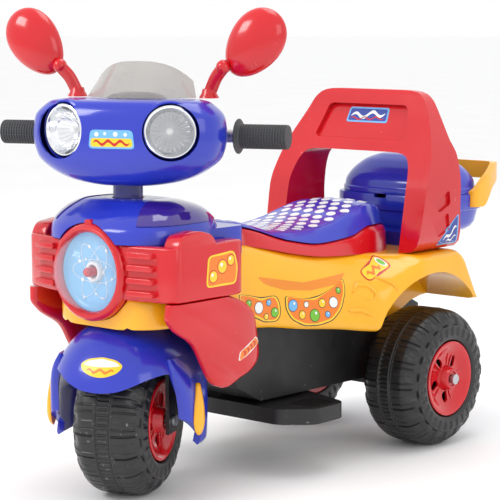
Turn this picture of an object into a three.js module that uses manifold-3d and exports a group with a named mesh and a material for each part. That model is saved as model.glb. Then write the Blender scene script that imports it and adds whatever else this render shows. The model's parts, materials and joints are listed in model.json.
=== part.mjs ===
// A battery-powered three-wheeled ride-on for a small child, as an assembly of separate pieces.
// Millimetres, +Z up. The front faces -Y and the rider's left is +X. The front fork is turned
// to the left by steerRest, which is where the assembly stands at rest.
// Inside this file the rear axle is at Y = 0 and the ground at Z = 0. The finished group is moved
// so that its origin is the middle of its footprint on the ground.
import * as THREE from 'three';
import { mergeVertices } from 'three/addons/utils/BufferGeometryUtils.js';
import Module from 'manifold-3d';

const wasm = await Module();
wasm.setup();

// ---- Driving dimensions ----
const wheelBase = 514;
const trackHalf = 130;
const steerRest = 23;
const wheelRadius = 105;
const wheelWidth = 104;
const rimRadius = 57;
const rimHoles = 5;
const axleRadius = 5;
const nutRadius = 8;
const stemRadius = 10;
const columnRadius = 20.5;
const wall = 3;
const gap = 0.3;
const runningGap = 1;

const fenderRise = 38;
const fenderTop = 2 * wheelRadius + fenderRise;
const neckZ = fenderTop + 8;
const chinZ = fenderTop - 8;
const noseTop = fenderTop + 34;
const deckZ = fenderTop + 49;
const tankTail = fenderTop + 83;
const nacelleTop = fenderTop + 108;
const tankTop = fenderTop + 162;
const headBottom = tankTop + 18;
const bodyHalf = trackHalf + 35;
const steerY = -wheelBase;

const fenderHalf = wheelWidth / 2 + 55;
const fenderReach = wheelRadius + 12;
// What the turning fork sweeps: the front corners of its fender, or the bosses on its sides.
const bossSweep = Math.hypot(fenderHalf + 11, 32);
const sweepRadius = Math.max(Math.hypot(fenderReach, wheelWidth / 2 - 12), bossSweep);
const fairingX = sweepRadius + 5;
const podOuter = fairingX + 12;

const archRadius = wheelRadius + 27;
const archY = -19;
const archZ = wheelRadius + 32;
const wellInner = trackHalf - wheelWidth / 2 - 6;
const hullHalf = wellInner - wall - 2 * runningGap;
const skirtZ = fenderTop - 57;

const tankRear = steerY + 118;
const seatFront = steerY + 134;
const seatRear = 20;
const trunkFront = 58;
const trunkDepth = 160;
const trunkHalf = trackHalf - 20;
const trunkRim = deckZ + 75;
const barOuter = trackHalf + 20;
const barLeg = 35;

const barY = 59;
const barZ = headBottom + 64;
const barTubeRadius = 9;
const gripStart = 137;
const gripEnd = 210.5;
const headTop = headBottom + 115;

// ---- Materials ----
const paint = (color, roughness, metalness = 0) =>
  new THREE.MeshStandardMaterial({ color, roughness, metalness });
const blue = paint(0x2f36d6, 0.25);
const navy = paint(0x1c1f6e, 0.3);
const red = paint(0xd3121d, 0.25);
const yellow = paint(0xf7b52c, 0.3);
const black = paint(0x161616, 0.6);
const rubberGrey = paint(0x3a3b3d, 0.7);
const chrome = paint(0xd8dadc, 0.12, 1);
const clear = paint(0xeef2f5, 0.08);
const amber = paint(0xf1d9b4, 0.1);
const purple = paint(0x3a1c8c, 0.12);
const dialBlue = paint(0x7fb4dc, 0.4);
const steel = paint(0x9a9da1, 0.35, 1);
const nylon = paint(0xe4e1d6, 0.5);
const glass = paint(0xc9ced2, 0.05, 1);

// ---- Closed meshes and the cuts made between them ----
function toSolid(geometry) {
  const bare = geometry.clone();
  bare.deleteAttribute('normal');
  bare.deleteAttribute('uv');
  const merged = mergeVertices(bare, 1e-3);
  const index = merged.index.array;
  const triangles = [];
  for (let i = 0; i < index.length; i += 3) {
    const [a, b, c] = [index[i], index[i + 1], index[i + 2]];
    if (a !== b && b !== c && c !== a) triangles.push(a, b, c);
  }
  return new wasm.Manifold(new wasm.Mesh({
    numProp: 3,
    vertProperties: new Float32Array(merged.attributes.position.array),
    triVerts: new Uint32Array(triangles),
  }));
}

function fromSolid(solid) {
  const mesh = solid.getMesh();
  const geometry = new THREE.BufferGeometry();
  geometry.setAttribute('position', new THREE.BufferAttribute(new Float32Array(mesh.vertProperties), 3));
  geometry.setIndex(new THREE.BufferAttribute(new Uint32Array(mesh.triVerts), 1));
  return geometry;
}

const join = (...shapes) => fromSolid(shapes.map(toSolid).reduce((a, b) => a.add(b)));
const cut = (body, ...tools) => fromSolid(tools.map(toSolid).reduce((a, b) => a.subtract(b), toSolid(body)));
const common = (a, b) => fromSolid(toSolid(a).intersect(toSolid(b)));

function signedVolume(geometry) {
  const position = geometry.attributes.position;
  const index = geometry.index.array;
  const corner = (i) => new THREE.Vector3().fromBufferAttribute(position, index[i]);
  let sum = 0;
  for (let i = 0; i < index.length; i += 3) sum += corner(i).dot(corner(i + 1).cross(corner(i + 2)));
  return sum;
}

// The same closed mesh with every face pointing out.
function outward(geometry) {
  if (signedVolume(geometry) > 0) return geometry;
  const index = geometry.index.array;
  for (let i = 0; i < index.length; i += 3) [index[i], index[i + 1]] = [index[i + 1], index[i]];
  return geometry;
}

// The mirror image of a shape across the middle plane.
const mirrored = (geometry) => outward(geometry.clone().scale(-1, 1, 1));

// ---- Basic shapes ----
const axes = {
  x: new THREE.Matrix4().makeBasis(...[[0, 1, 0], [0, 0, 1], [1, 0, 0]].map((v) => new THREE.Vector3(...v))),
  y: new THREE.Matrix4().makeBasis(...[[1, 0, 0], [0, 0, 1], [0, -1, 0]].map((v) => new THREE.Vector3(...v))),
  z: new THREE.Matrix4(),
};

function box(x0, x1, y0, y1, z0, z1) {
  const shape = new THREE.BoxGeometry(x1 - x0, y1 - y0, z1 - z0);
  return shape.translate((x0 + x1) / 2, (y0 + y1) / 2, (z0 + z1) / 2);
}

// An outline pushed along an axis. The outline's two coordinates are Y, Z for the x axis,
// X, Z for the y axis and X, Y for the z axis.
function prism(outline, axis, from, to) {
  const shape = new THREE.Shape(outline.map(([u, v]) => new THREE.Vector2(u, v)));
  const solid = new THREE.ExtrudeGeometry(shape, { depth: to - from, bevelEnabled: false });
  solid.applyMatrix4(axes[axis]);
  const shift = { x: [from, 0, 0], y: [0, to, 0], z: [0, 0, from] }[axis];
  return solid.translate(...shift);
}

// A body of revolution from [radius, distance along the axis] points.
function turned(profile, axis = 'z', segments = 22) {
  const points = profile.map(([r, t]) => new THREE.Vector2(r, t));
  const solid = new THREE.LatheGeometry(points, segments);
  if (axis === 'x') solid.rotateZ(-Math.PI / 2);
  if (axis === 'z') solid.rotateX(Math.PI / 2);
  return outward(solid);
}

const rod = (radius, from, to, axis, segments) =>
  turned([[0, from], [radius, from], [radius, to], [0, to]], axis, segments);
const tube = (inner, outer, from, to, axis, segments) =>
  turned([[inner, from], [outer, from], [outer, to], [inner, to], [inner, from]], axis, segments);

// A skin through rings of points, one after another, closed with a fan over each end.
function loft(rings) {
  const count = rings[0].length;
  const points = rings.flat();
  const index = [];
  for (let r = 0; r + 1 < rings.length; r += 1) {
    for (let i = 0; i < count; i += 1) {
      const j = (i + 1) % count;
      const [a, b] = [r * count + i, r * count + j];
      index.push(a, b, b + count, a, b + count, a + count);
    }
  }
  for (const [ring, first, order] of [[rings[0], 0, 1], [rings.at(-1), (rings.length - 1) * count, -1]]) {
    const middle = ring.reduce((sum, p) => sum.add(p), new THREE.Vector3()).divideScalar(count);
    points.push(middle);
    for (let i = 0; i < count; i += 1) {
      const [a, b] = [first + i, first + ((i + 1) % count)];
      index.push(points.length - 1, ...(order > 0 ? [b, a] : [a, b]));
    }
  }
  const geometry = new THREE.BufferGeometry().setFromPoints(points);
  geometry.setIndex(index);
  return outward(geometry);
}

const power = (value, exponent) => Math.sign(value) * Math.abs(value) ** exponent;

// A level ring with half width a, front reach f and rear reach r about (x, y).
function levelRing(z, a, f, r, { x = 0, y = 0, square = 2.4, count = 16 } = {}) {
  return Array.from({ length: count }, (_, i) => {
    const angle = (2 * Math.PI * (i + 0.5)) / count;
    const c = power(Math.cos(angle), 2 / square);
    const s = power(Math.sin(angle), 2 / square);
    return new THREE.Vector3(x + a * c, y + (s < 0 ? f : r) * s, z);
  });
}

// An upright ring at y that follows the corners of an outline, each corner rounded off.
function uprightRing(y, corners, round) {
  const ring = [];
  corners.forEach((corner, i) => {
    const here = new THREE.Vector2(...corner);
    const before = new THREE.Vector2(...corners.at(i - 1));
    const after = new THREE.Vector2(...corners[(i + 1) % corners.length]);
    const inward = before.sub(here);
    const outward = after.sub(here);
    const start = here.clone().addScaledVector(inward, Math.min(0.45, round / Math.max(inward.length(),
      1e-6)));
    const end = here.clone().addScaledVector(outward, Math.min(0.45, round / Math.max(outward.length(),
      1e-6)));
    for (const t of [0, 1]) {
      const p = start.clone().multiplyScalar((1 - t) ** 2);
      p.addScaledVector(here, 2 * t * (1 - t)).addScaledVector(end, t * t);
      ring.push(new THREE.Vector3(p.x, y, p.y));
    }
  });
  return ring;
}

// A thin plate of even thickness over a grid of points place(u, v), u and v from 0 to 1.
function plate(place, across, along, thickness) {
  const points = [];
  const at = (side, i, j) => side * (across + 1) * (along + 1) + i * (along + 1) + j;
  const step = 1e-3;
  for (const side of [0, 1]) {
    for (let i = 0; i <= across; i += 1) {
      for (let j = 0; j <= along; j += 1) {
        const [u, v] = [i / across, j / along];
        const p = place(u, v);
        const du = place(u + step, v).sub(place(u - step, v));
        const dv = place(u, v + step).sub(place(u, v - step));
        points.push(p.addScaledVector(du.cross(dv).normalize(), side * thickness));
      }
    }
  }
  const index = [];
  const quad = (a, b, c, d) => index.push(a, b, c, a, c, d);
  for (let i = 0; i < across; i += 1) {
    for (let j = 0; j < along; j += 1) {
      quad(at(0, i, j), at(0, i, j + 1), at(0, i + 1, j + 1), at(0, i + 1, j));
      quad(at(1, i, j), at(1, i + 1, j), at(1, i + 1, j + 1), at(1, i, j + 1));
    }
    quad(at(0, i, 0), at(0, i + 1, 0), at(1, i + 1, 0), at(1, i, 0));
    quad(at(0, i + 1, along), at(0, i, along), at(1, i, along), at(1, i + 1, along));
  }
  for (let j = 0; j < along; j += 1) {
    quad(at(0, 0, j + 1), at(0, 0, j), at(1, 0, j), at(1, 0, j + 1));
    quad(at(0, across, j), at(0, across, j + 1), at(1, across, j + 1), at(1, across, j));
  }
  const geometry = new THREE.BufferGeometry().setFromPoints(points);
  geometry.setIndex(index);
  return outward(geometry);
}

// Straight-line reading of [position, value] pairs.
function along(table, position) {
  const next = table.findIndex(([p]) => p >= position);
  if (next === 0) return table[0][1];
  if (next < 0) return table.at(-1)[1];
  const [[p0, v0], [p1, v1]] = [table[next - 1], table[next]];
  return v0 + ((v1 - v0) * (position - p0)) / (p1 - p0);
}

// The outline moved inwards by a distance; its corners run anticlockwise.
function inset(outline, distance) {
  return outline.map((corner, i) => {
    const here = new THREE.Vector2(...corner);
    const a = here.clone().sub(new THREE.Vector2(...outline.at(i - 1))).normalize();
    const b = new THREE.Vector2(...outline[(i + 1) % outline.length]).sub(here).normalize();
    const [na, nb] = [new THREE.Vector2(-a.y, a.x), new THREE.Vector2(-b.y, b.x)];
    const push = na.clone().add(nb).multiplyScalar(distance / (1 + na.dot(nb)));
    return [here.x + push.x, here.y + push.y];
  });
}

// The outline of a bow from its outer half, going towards the middle, and its inner half, coming back.
function bowOutline(outer, inner) {
  const flip = (points) => points.map(([u, v]) => [-u, v]).reverse();
  return [...outer, ...flip(outer), ...flip(inner), ...inner];
}

// ---- Assembly groups ----
const trike = new THREE.Group();
const steering = new THREE.Group();
steering.position.set(0, steerY, 0);
steering.rotation.z = THREE.MathUtils.degToRad(steerRest);
trike.add(steering);

function add(parent, name, geometry, material) {
  const mesh = new THREE.Mesh(geometry, material);
  mesh.name = name;
  parent.add(mesh);
  return mesh;
}

// ---- Wheels: blow-moulded tyre ring with a dished rim disc pressed into each side ----
function tyre() {
  const half = wheelWidth / 2;
  const seat = rimRadius + runningGap;
  const shoulder = 30;
  const outer = [[seat, -half + 4], [rimRadius + 12, -half], [wheelRadius - shoulder * 0.9, -half + 1]];
  const slant = Math.SQRT1_2;
  outer.push([wheelRadius - shoulder + shoulder * slant, -half + shoulder * (1 - slant)]);
  outer.push([wheelRadius, -14]);
  const inner = [
    [seat, -half + 4 + wall], [rimRadius + 12, -half + wall], [wheelRadius - shoulder, -half + wall + 1],
    [wheelRadius - wall, -20],
  ];
  const right = outer.map(([r, t]) => [r, -t]).reverse();
  const innerRight = inner.map(([r, t]) => [r, -t]);
  const profile = [...outer, ...right, ...innerRight, ...inner.reverse()];
  return turned([...profile, profile[0]], 'x', 24);
}

function rimDisc(side) {
  const face = wheelWidth / 2 - 3;
  const hub = wheelWidth / 2 + 4;
  const bore = axleRadius + 0.4;
  const outline = [
    [bore, face - 13], [38, face - 13], [45, face - 3], [rimRadius, face - 3], [rimRadius, face], [43, face],
    [36, face - 9], [20, face - 9], [14, hub], [bore, hub],
  ];
  const disc = turned([...outline, outline[0]], 'x', 16);
  const holes = Array.from({ length: rimHoles }, (_, i) => {
    const hole = rod(5.5, face - 20, face, 'x', 8);
    hole.scale(1, 1.5, 1);
    hole.translate(0, 29.5, 0);
    return hole.rotateX(((i + 0.5) * 2 * Math.PI) / rimHoles);
  });
  const pierced = cut(disc, ...holes);
  return side > 0 ? pierced : mirrored(pierced);
}

function addWheels() {
  const front = new THREE.Group();
  front.position.z = wheelRadius;
  steering.add(front);
  add(front, 'front_tyre', tyre(), black);
  add(front, 'front_rim_left', rimDisc(1), red);
  add(front, 'front_rim_right', rimDisc(-1), red);
  for (const [label, side] of [['left', 1], ['right', -1]]) {
    const wheel = new THREE.Group();
    wheel.position.set(side * trackHalf, 0, wheelRadius);
    trike.add(wheel);
    add(wheel, `rear_tyre_${label}`, tyre(), black);
    add(wheel, `rear_rim_outer_${label}`, rimDisc(side), red);
    add(wheel, `rear_rim_inner_${label}`, rimDisc(-side), red);
  }
}

// ---- Lower frame: hull, neck, head tube and rear axle ----
const hullTop = fenderTop - 16;
const headTubeOuter = 19;
const bushOuter = 14;
const headTubeTop = neckZ + 69;

const hullOutline = [
  [steerY + 104, neckZ + 8], [steerY + 114, wheelRadius + 95], [steerY + 148, wheelRadius + 27],
  [steerY + 200, wheelRadius], [-66, wheelRadius - 3], [-60, wheelRadius - 13], [52, wheelRadius - 13],
  [72, wheelRadius + 10], [72, hullTop - 30], [10, hullTop], [steerY + 200, hullTop], [steerY + 150,
    neckZ + 8],
];

function chassisTray() {
  const shell = prism(hullOutline, 'x', -hullHalf, hullHalf);
  const hollow = prism(inset(hullOutline, wall), 'x', -hullHalf + wall, hullHalf - wall);
  const mouthTop = hullTop + 30;
  const inner = hullHalf - wall;
  const mouth = box(-inner, inner, steerY + 206, 7, hullTop - 12, mouthTop);
  const neckFront = steerY - 30;
  const beam = box(-40, 40, neckFront, steerY + 112, neckZ, neckZ + 8);
  const cheeks = [-1, 1].map((side) => {
    const [from, to] = side > 0 ? [36, 40] : [-40, -36];
    return box(from, to, neckFront, steerY + 112, neckZ + 8, neckZ + 18);
  });
  const headTube = rod(headTubeOuter, neckZ, headTubeTop, 'z');
  headTube.translate(0, steerY, 0);
  const bore = rod(bushOuter + gap, neckZ - 5, headTubeTop + 5, 'z');
  bore.translate(0, steerY, 0);
  const axleBore = rod(axleRadius + gap, -hullHalf - 5, 0, 'x', 16);
  axleBore.translate(0, 0, wheelRadius);
  const leftBore = mirrored(axleBore);
  const rightBore = rod(sleeveOuter + runningGap, -hullHalf - 5, -hullHalf + 12, 'x', 16);
  rightBore.translate(0, 0, wheelRadius);
  const body = join(cut(shell, hollow, mouth), beam, ...cheeks, headTube);
  return cut(body, bore, leftBore, rightBore);
}

const sleeveOuter = 9;

// An axle rod with a nut on each end, the nuts' inner faces at +end and -end.
function headedPin(end) {
  const half = [[axleRadius, end], [nutRadius, end], [nutRadius, end + 4], [0, end + 4]];
  const other = half.map(([r, t]) => [r, -t]).reverse();
  return turned([...other, ...half], 'x', 16);
}

function rearAxle() {
  return headedPin(trackHalf + wheelWidth / 2 + 4 + gap).translate(0, 0, wheelRadius);
}

// The splined sleeve that carries the gearbox output to the right wheel.
function driveSleeve() {
  const wheelFace = trackHalf - wheelWidth / 2 - 4 - gap;
  const sleeve = tube(axleRadius + 0.4, sleeveOuter, -wheelFace, -gearboxX1 - gap, 'x', 16);
  return sleeve.translate(0, 0, wheelRadius);
}

const gearboxX1 = hullHalf - wall - 4;

function motorGearbox() {
  const housing = box(-gearboxX1, -gearboxX1 + 34, -46, 34, wheelRadius - 6, wheelRadius + 62);
  const motor = rod(17, 0, 62, 'y', 20);
  motor.translate(-gearboxX1 + 17, -46 - 58, wheelRadius + 40);
  const bore = rod(axleRadius + runningGap, -gearboxX1 - 5, -gearboxX1 + 40, 'x', 16);
  bore.translate(0, 0, wheelRadius);
  return cut(join(housing, motor), bore);
}

function battery() {
  const halfWidth = Math.min(35, hullHalf - wall - 6);
  const floor = wheelRadius + 4;
  const from = steerY + 262;
  const block = box(-halfWidth, halfWidth, from, from + 48, floor, floor + 98);
  const posts = [-1, 1].map((side) => {
    const post = box(-4, 4, from + 16, from + 24, floor + 98, floor + 105);
    return post.translate(side * (halfWidth - 14), 0, 0);
  });
  return join(block, ...posts);
}

function steeringBush() {
  const bore = stemRadius + 0.4;
  const flange = headTubeTop + gap;
  const outline = [
    [bore, neckZ], [bushOuter, neckZ], [bushOuter, flange], [headTubeOuter, flange],
    [headTubeOuter, flange + 3], [bore, flange + 3],
  ];
  return turned([...outline, outline[0]], 'z', 24).translate(0, steerY, 0);
}

// ---- Footboard with its accelerator pedal ----
const footTop = wheelRadius - 5;
const footBottom = footTop - 23;
const pedalX = hullHalf + 45;
const footFront = steerY + 189;
const footRear = steerY + 299;
const footHalf = pedalX + 36;

function footboard() {
  const half = [
    [0, footFront], [108, footFront], [footHalf, footFront + 37], [footHalf, footFront + 96],
    [140, footRear - 3], [0, footRear + 42],
  ];
  const left = half.slice(1, -1).map(([x, y]) => [-x, y]).reverse();
  const outline = [...half, ...left];
  const pan = prism(outline, 'z', footBottom, footTop - gap);
  const hollow = prism(inset(outline, wall + 1), 'z', footBottom - 5, footTop - gap - wall);
  const slot = box(-pedalX - 8, -pedalX + 8, pedalRear - 30, pedalRear - 16, footTop - 12, footTop + 5);
  return cut(cut(pan, hollow), slot);
}

const pedalHalf = 20;
const pedalRear = footFront + 88;
const pedalLength = 50;

// A rocking plate on the right foot space, hinged along its heel edge.
function pedal() {
  const z = footTop + gap;
  const side = [
    [pedalRear, z], [pedalRear, z + 5], [pedalRear - pedalLength, z + 15], [pedalRear - pedalLength, z + 11],
  ];
  const face = prism(side.reverse(), 'x', -pedalX - pedalHalf, -pedalX + pedalHalf);
  const plunger = rod(4, footTop - 5, z + 7, 'z', 12);
  plunger.translate(-pedalX, pedalRear - 23, 0);
  return join(face, plunger);
}

// ---- Body shell: nose under the lamp housing, waist under the seat, arches over the wheels ----
const seatTops = [
  [tankRear + gap, tankTail - gap], [seatFront - 4, deckZ + 42], [seatFront, deckZ + 43],
    [seatFront + 30, deckZ + 38],
  [seatFront + 102, deckZ + 23], [seatFront + 182, deckZ + 10], [seatFront + 240, deckZ + 6], [-80,
    deckZ + 2],
  [-54, deckZ],
];
const bodyTop = (y) => along(seatTops, y);

// Each row: y, top z, top half width, shoulder z, shoulder half width, bottom z, bottom half width.
const waist = wellInner + 14;
const tailY = 92;
function bodyRows() {
  const archFront = archY - Math.sqrt(archRadius ** 2 - (skirtZ - archZ) ** 2);
  const row = (y, wt, zs, ws, zb, wb) => [y, bodyTop(y), wt, zs, ws, zb, wb];
  return [
    [steerY + 86, tankTail - gap, waist, tankTail - 30, waist + 8, fenderTop - 22, waist + 12],
    row(tankRear + gap, waist, tankTail - 30, waist + 8, fenderTop - 25, waist + 11),
    row(seatFront - 4, waist, deckZ + 10, waist + 6, fenderTop - 28, waist + 8),
    row(seatFront + 50, waist, deckZ - 5, waist + 8, fenderTop - 34, waist + 13),
    row(seatFront + 110, waist, deckZ - 20, waist + 16, fenderTop - 42, waist + 24),
    row(seatFront + 180, waist + 1, deckZ - 30, waist + 28, fenderTop - 49, bodyHalf - 38),
    row(archFront + 2, waist + 3, deckZ - 52, bodyHalf - 30, skirtZ, bodyHalf - 13),
    row(-104, waist + 8, deckZ - 34, bodyHalf - 13, skirtZ - 2, bodyHalf - 3),
    row(-66, waist + 34, deckZ - 16, bodyHalf - 4, skirtZ - 2, bodyHalf),
    row(-42, bodyHalf - 14, deckZ - 10, bodyHalf - 1, skirtZ - 2, bodyHalf),
    row(48, bodyHalf - 14, deckZ - 10, bodyHalf - 1, skirtZ + 20, bodyHalf),
    [69, deckZ - 22, bodyHalf - 13, deckZ - 32, bodyHalf - 1, skirtZ + 24, bodyHalf],
    [tailY, skirtZ + 32, bodyHalf - 6, skirtZ + 30, bodyHalf - 1, skirtZ + 26, bodyHalf],
  ];
}

function sectionRing([y, zt, wt, zs, ws, zb, wb], round = 14) {
  const right = [[wt, zt], [ws, zs], [wb, zb]];
  const left = right.map(([x, z]) => [-x, z]).reverse();
  return uprightRing(y, [...right.reverse(), ...left.reverse()].slice(), round);
}

function shrink([y, zt, wt, zs, ws, zb, wb], shift = 0) {
  return [y + shift, zt - wall, wt - wall * 0.7, zs - wall * 0.4, ws - wall, zb - 40, wb - wall];
}

const noseHalf = 97;
function noseRows() {
  const row = (y, half) => [y, noseTop, half - 3, noseTop - 10, half, chinZ, half];
  return [
    row(steerY - 64, 48), row(steerY - 58, 68), row(steerY - 46, 83), row(steerY - 28, 93),
    row(steerY - 10, noseHalf), row(steerY + 90, noseHalf),
  ];
}

function bodyShell() {
  const rows = bodyRows();
  const main = loft(rows.map((r) => sectionRing(r)));
  const nose = loft(noseRows().map((r) => sectionRing(r, 6)));
  const shrunk = rows.map((r) => shrink(r));
  shrunk[0][0] += wall;
  shrunk.at(-1)[0] -= wall;
  shrunk.at(-1)[1] += wall - 1;
  const hollow = loft(shrunk.map((r) => sectionRing(r)));
  const noseShrunk = noseRows().map((r) => shrink(r));
  noseShrunk[0][0] += wall;
  noseShrunk.at(-1)[0] += 30;
  const noseHollow = loft(noseShrunk.map((r) => sectionRing(r, 6)));
  const outer = join(main, nose);
  const arch = (grow, from, to) => {
    const r = archRadius + grow;
    const outline = [[archY - r, 20], [archY + r, 20]];
    for (let i = 0; i <= 12; i += 1) {
      const angle = (Math.PI * i) / 12;
      outline.push([archY + r * Math.cos(angle), archZ + r * Math.sin(angle)]);
    }
    return prism(outline, 'x', from, to);
  };
  const liners = [arch(wall, wellInner - wall, bodyHalf + 5), arch(wall, -bodyHalf - 5, -wellInner + wall)];
  const wells = [arch(0, wellInner, bodyHalf + 10), arch(0, -bodyHalf - 10, -wellInner)];
  const lined = join(cut(outer, hollow, noseHollow), ...liners.map((l) => common(l, main)));
  const headHole = rod(headTubeOuter + runningGap, noseTop - 30, noseTop + 10, 'z');
  headHole.translate(0, steerY, 0);
  const under = box(-wellInner + wall, wellInner - wall, archY - archRadius - 20, tailY - wall, 0,
    deckZ - 60);
  const window = switchPocket(runningGap);
  return cut(lined, ...wells, headHole, under, window, lampRoom());
}

// ---- Drive switch on the right flank ----
const switchY = seatFront + 76;
const switchZ = deckZ - 12;
const switchX = waist + 4;

function switchPocket(clearance) {
  const tall = 9 + clearance;
  const long = 13 + clearance;
  return box(-switchX - 20, -switchX + 14, switchY - long, switchY + long, switchZ - tall, switchZ + tall);
}

function driveSwitch() {
  const cap = box(-switchX - 9, -switchX + 6, switchY - 12, switchY + 12, switchZ - 8, switchZ + 8);
  const stalk = box(-switchX + 5, -switchX + 12, switchY - 3, switchY + 3, switchZ - 6, switchZ + 6);
  return join(cap, stalk);
}

// ---- Seat base and pad ----
const seatBaseTops = [
  [0, 69], [29, 62], [114, 37], [183, 27], [255, 31], [304, 43], [345, 42], [400, 30],
];
const padTops = [[0, 66], [14, 71], [70, 55], [176, 49], [230, 56], [271, 67], [330, 76], [372, 69],
  [400, 46]];
const seatLength = seatRear - seatFront;
const seatShare = (table, y) => deckZ + along(table, ((y - seatFront) / seatLength) * 400);
const seatWidths = [[0, 62], [20, 78], [60, 86], [200, 92], [300, 89], [350, 76], [380, 56], [400, 30]];
const seatHalf = (y) => along(seatWidths, ((y - seatFront) / seatLength) * 400);
const seatStations = [0, 20, 50, 90, 140, 190, 240, 290, 330, 360, 382, 400];
const seatY = (station) => seatFront + (station / 400) * seatLength;

function seatBase() {
  const rings = seatStations.map((station) => {
    const y = seatY(station);
    const half = seatHalf(y);
    const top = seatShare(seatBaseTops, y) - gap;
    const foot = bodyTop(y) + gap;
    return uprightRing(y, [[half, foot], [half - 4, top], [-half + 4, top], [-half, foot]], 5);
  });
  const lower = box(-bodyHalf, bodyHalf, seatFront - 5, seatRear + 5, 0, deckZ - 5);
  const bodyRoof = loft(bodyRows().slice(1, -2).map(([y, z]) =>
    uprightRing(y, [[200, 0], [200, z + gap], [-200, z + gap], [-200, 0]], 1)));
  const hollow = loft(seatStations.slice(1, -1).map((station) => {
    const y = seatY(station);
    const half = seatHalf(y) - 2 * wall;
    const top = seatShare(seatBaseTops, y) - gap - wall;
    return uprightRing(y, [[half, deckZ - 60], [half, top], [-half, top], [-half, deckZ - 60]], 5);
  }));
  return cut(loft(rings), lower, bodyRoof, hollow);
}

function padBlock(shrinkBy) {
  const margin = 7 + shrinkBy;
  return loft(seatStations.map((station) => {
    const y = THREE.MathUtils.clamp(seatY(station), seatFront + margin, seatRear - margin);
    const half = seatHalf(seatY(station)) - margin;
    const bed = seatShare(seatBaseTops, y) + gap;
    const top = Math.max(seatShare(padTops, y), bed + 8) - shrinkBy;
    const foot = bed - shrinkBy;
    const rise = (top - foot) * 0.55;
    const corners = [[half, foot], [half, foot + rise], [half * 0.62, top], [-half * 0.62, top]];
    return uprightRing(y, [...corners, [-half, foot + rise], [-half, foot]], 10);
  }));
}

// A hollow moulding, open underneath, that lies on the seat base.
function seatPad() {
  const bed = loft(seatStations.map((station) => {
    const y = seatY(station);
    const z = seatShare(seatBaseTops, y) + gap;
    return uprightRing(y, [[200, 0], [200, z], [-200, z], [-200, 0]], 0.5);
  }));
  return cut(padBlock(0), padBlock(wall), bed);
}

// ---- Tank cover with its tinted side windows ----
const windowDepth = 1.8;
const tankRings = [
  [nacelleTop + gap, 110, 84, 116], [nacelleTop + 16, 109, 82, 114], [nacelleTop + 28, 104, 72, 106],
  [nacelleTop + 40, 94, 56, 88], [nacelleTop + 48, 80, 42, 66], [tankTop, 52, 32, 42],
];

function tankDome(shrinkBy) {
  const rings = tankRings.map(([z, a, f, r], i) => {
    const lower = i === 0 && shrinkBy > 0 ? 10 : shrinkBy;
    return levelRing(z - lower, a - shrinkBy, f - shrinkBy, r - shrinkBy, { y: steerY, square: 2.7 });
  });
  return loft(rings);
}

function windowPrism(grow) {
  const outline = [
    [125, steerY - 80 - grow], [125, steerY + 94 + grow], [90, steerY + 92 + grow], [56 - grow,
      steerY + 74 + grow],
    [50 - grow, steerY + 44], [62 - grow, steerY - 8], [86 - grow, steerY - 76 - grow],
  ];
  return prism(outline, 'z', nacelleTop + 23 - grow, tankTop + 20);
}

function tankCover() {
  const tail = box(-108, 108, steerY + 88, tankRear, tankTail, nacelleTop + 14);
  const tailHollow = box(-108 + wall, 108 - wall, steerY + 80, tankRear - wall, tankTail - 5, nacelleTop + 8);
  const shell = cut(join(tankDome(0), tail), tankDome(wall), tailHollow);
  const shelf = cut(windowPrism(gap), tankDome(windowDepth));
  const hole = rod(columnRadius + runningGap, nacelleTop - 20, tankTop + 20, 'z');
  hole.translate(0, steerY, 0);
  return cut(shell, shelf, mirrored(shelf), hole, lampRoom());
}

function tankWindow() {
  return cut(common(tankDome(0), windowPrism(0)), tankDome(windowDepth - gap));
}

// ---- Lamp housing across the front, with side pods ----
const lampZ = neckZ + 59;
const lampFront = steerY - 73;
const lampRadius = 62;
const dialRadius = lampRadius - 6;
const nacelleBottom = noseTop + gap;
const podRear = steerY + 84;

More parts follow.
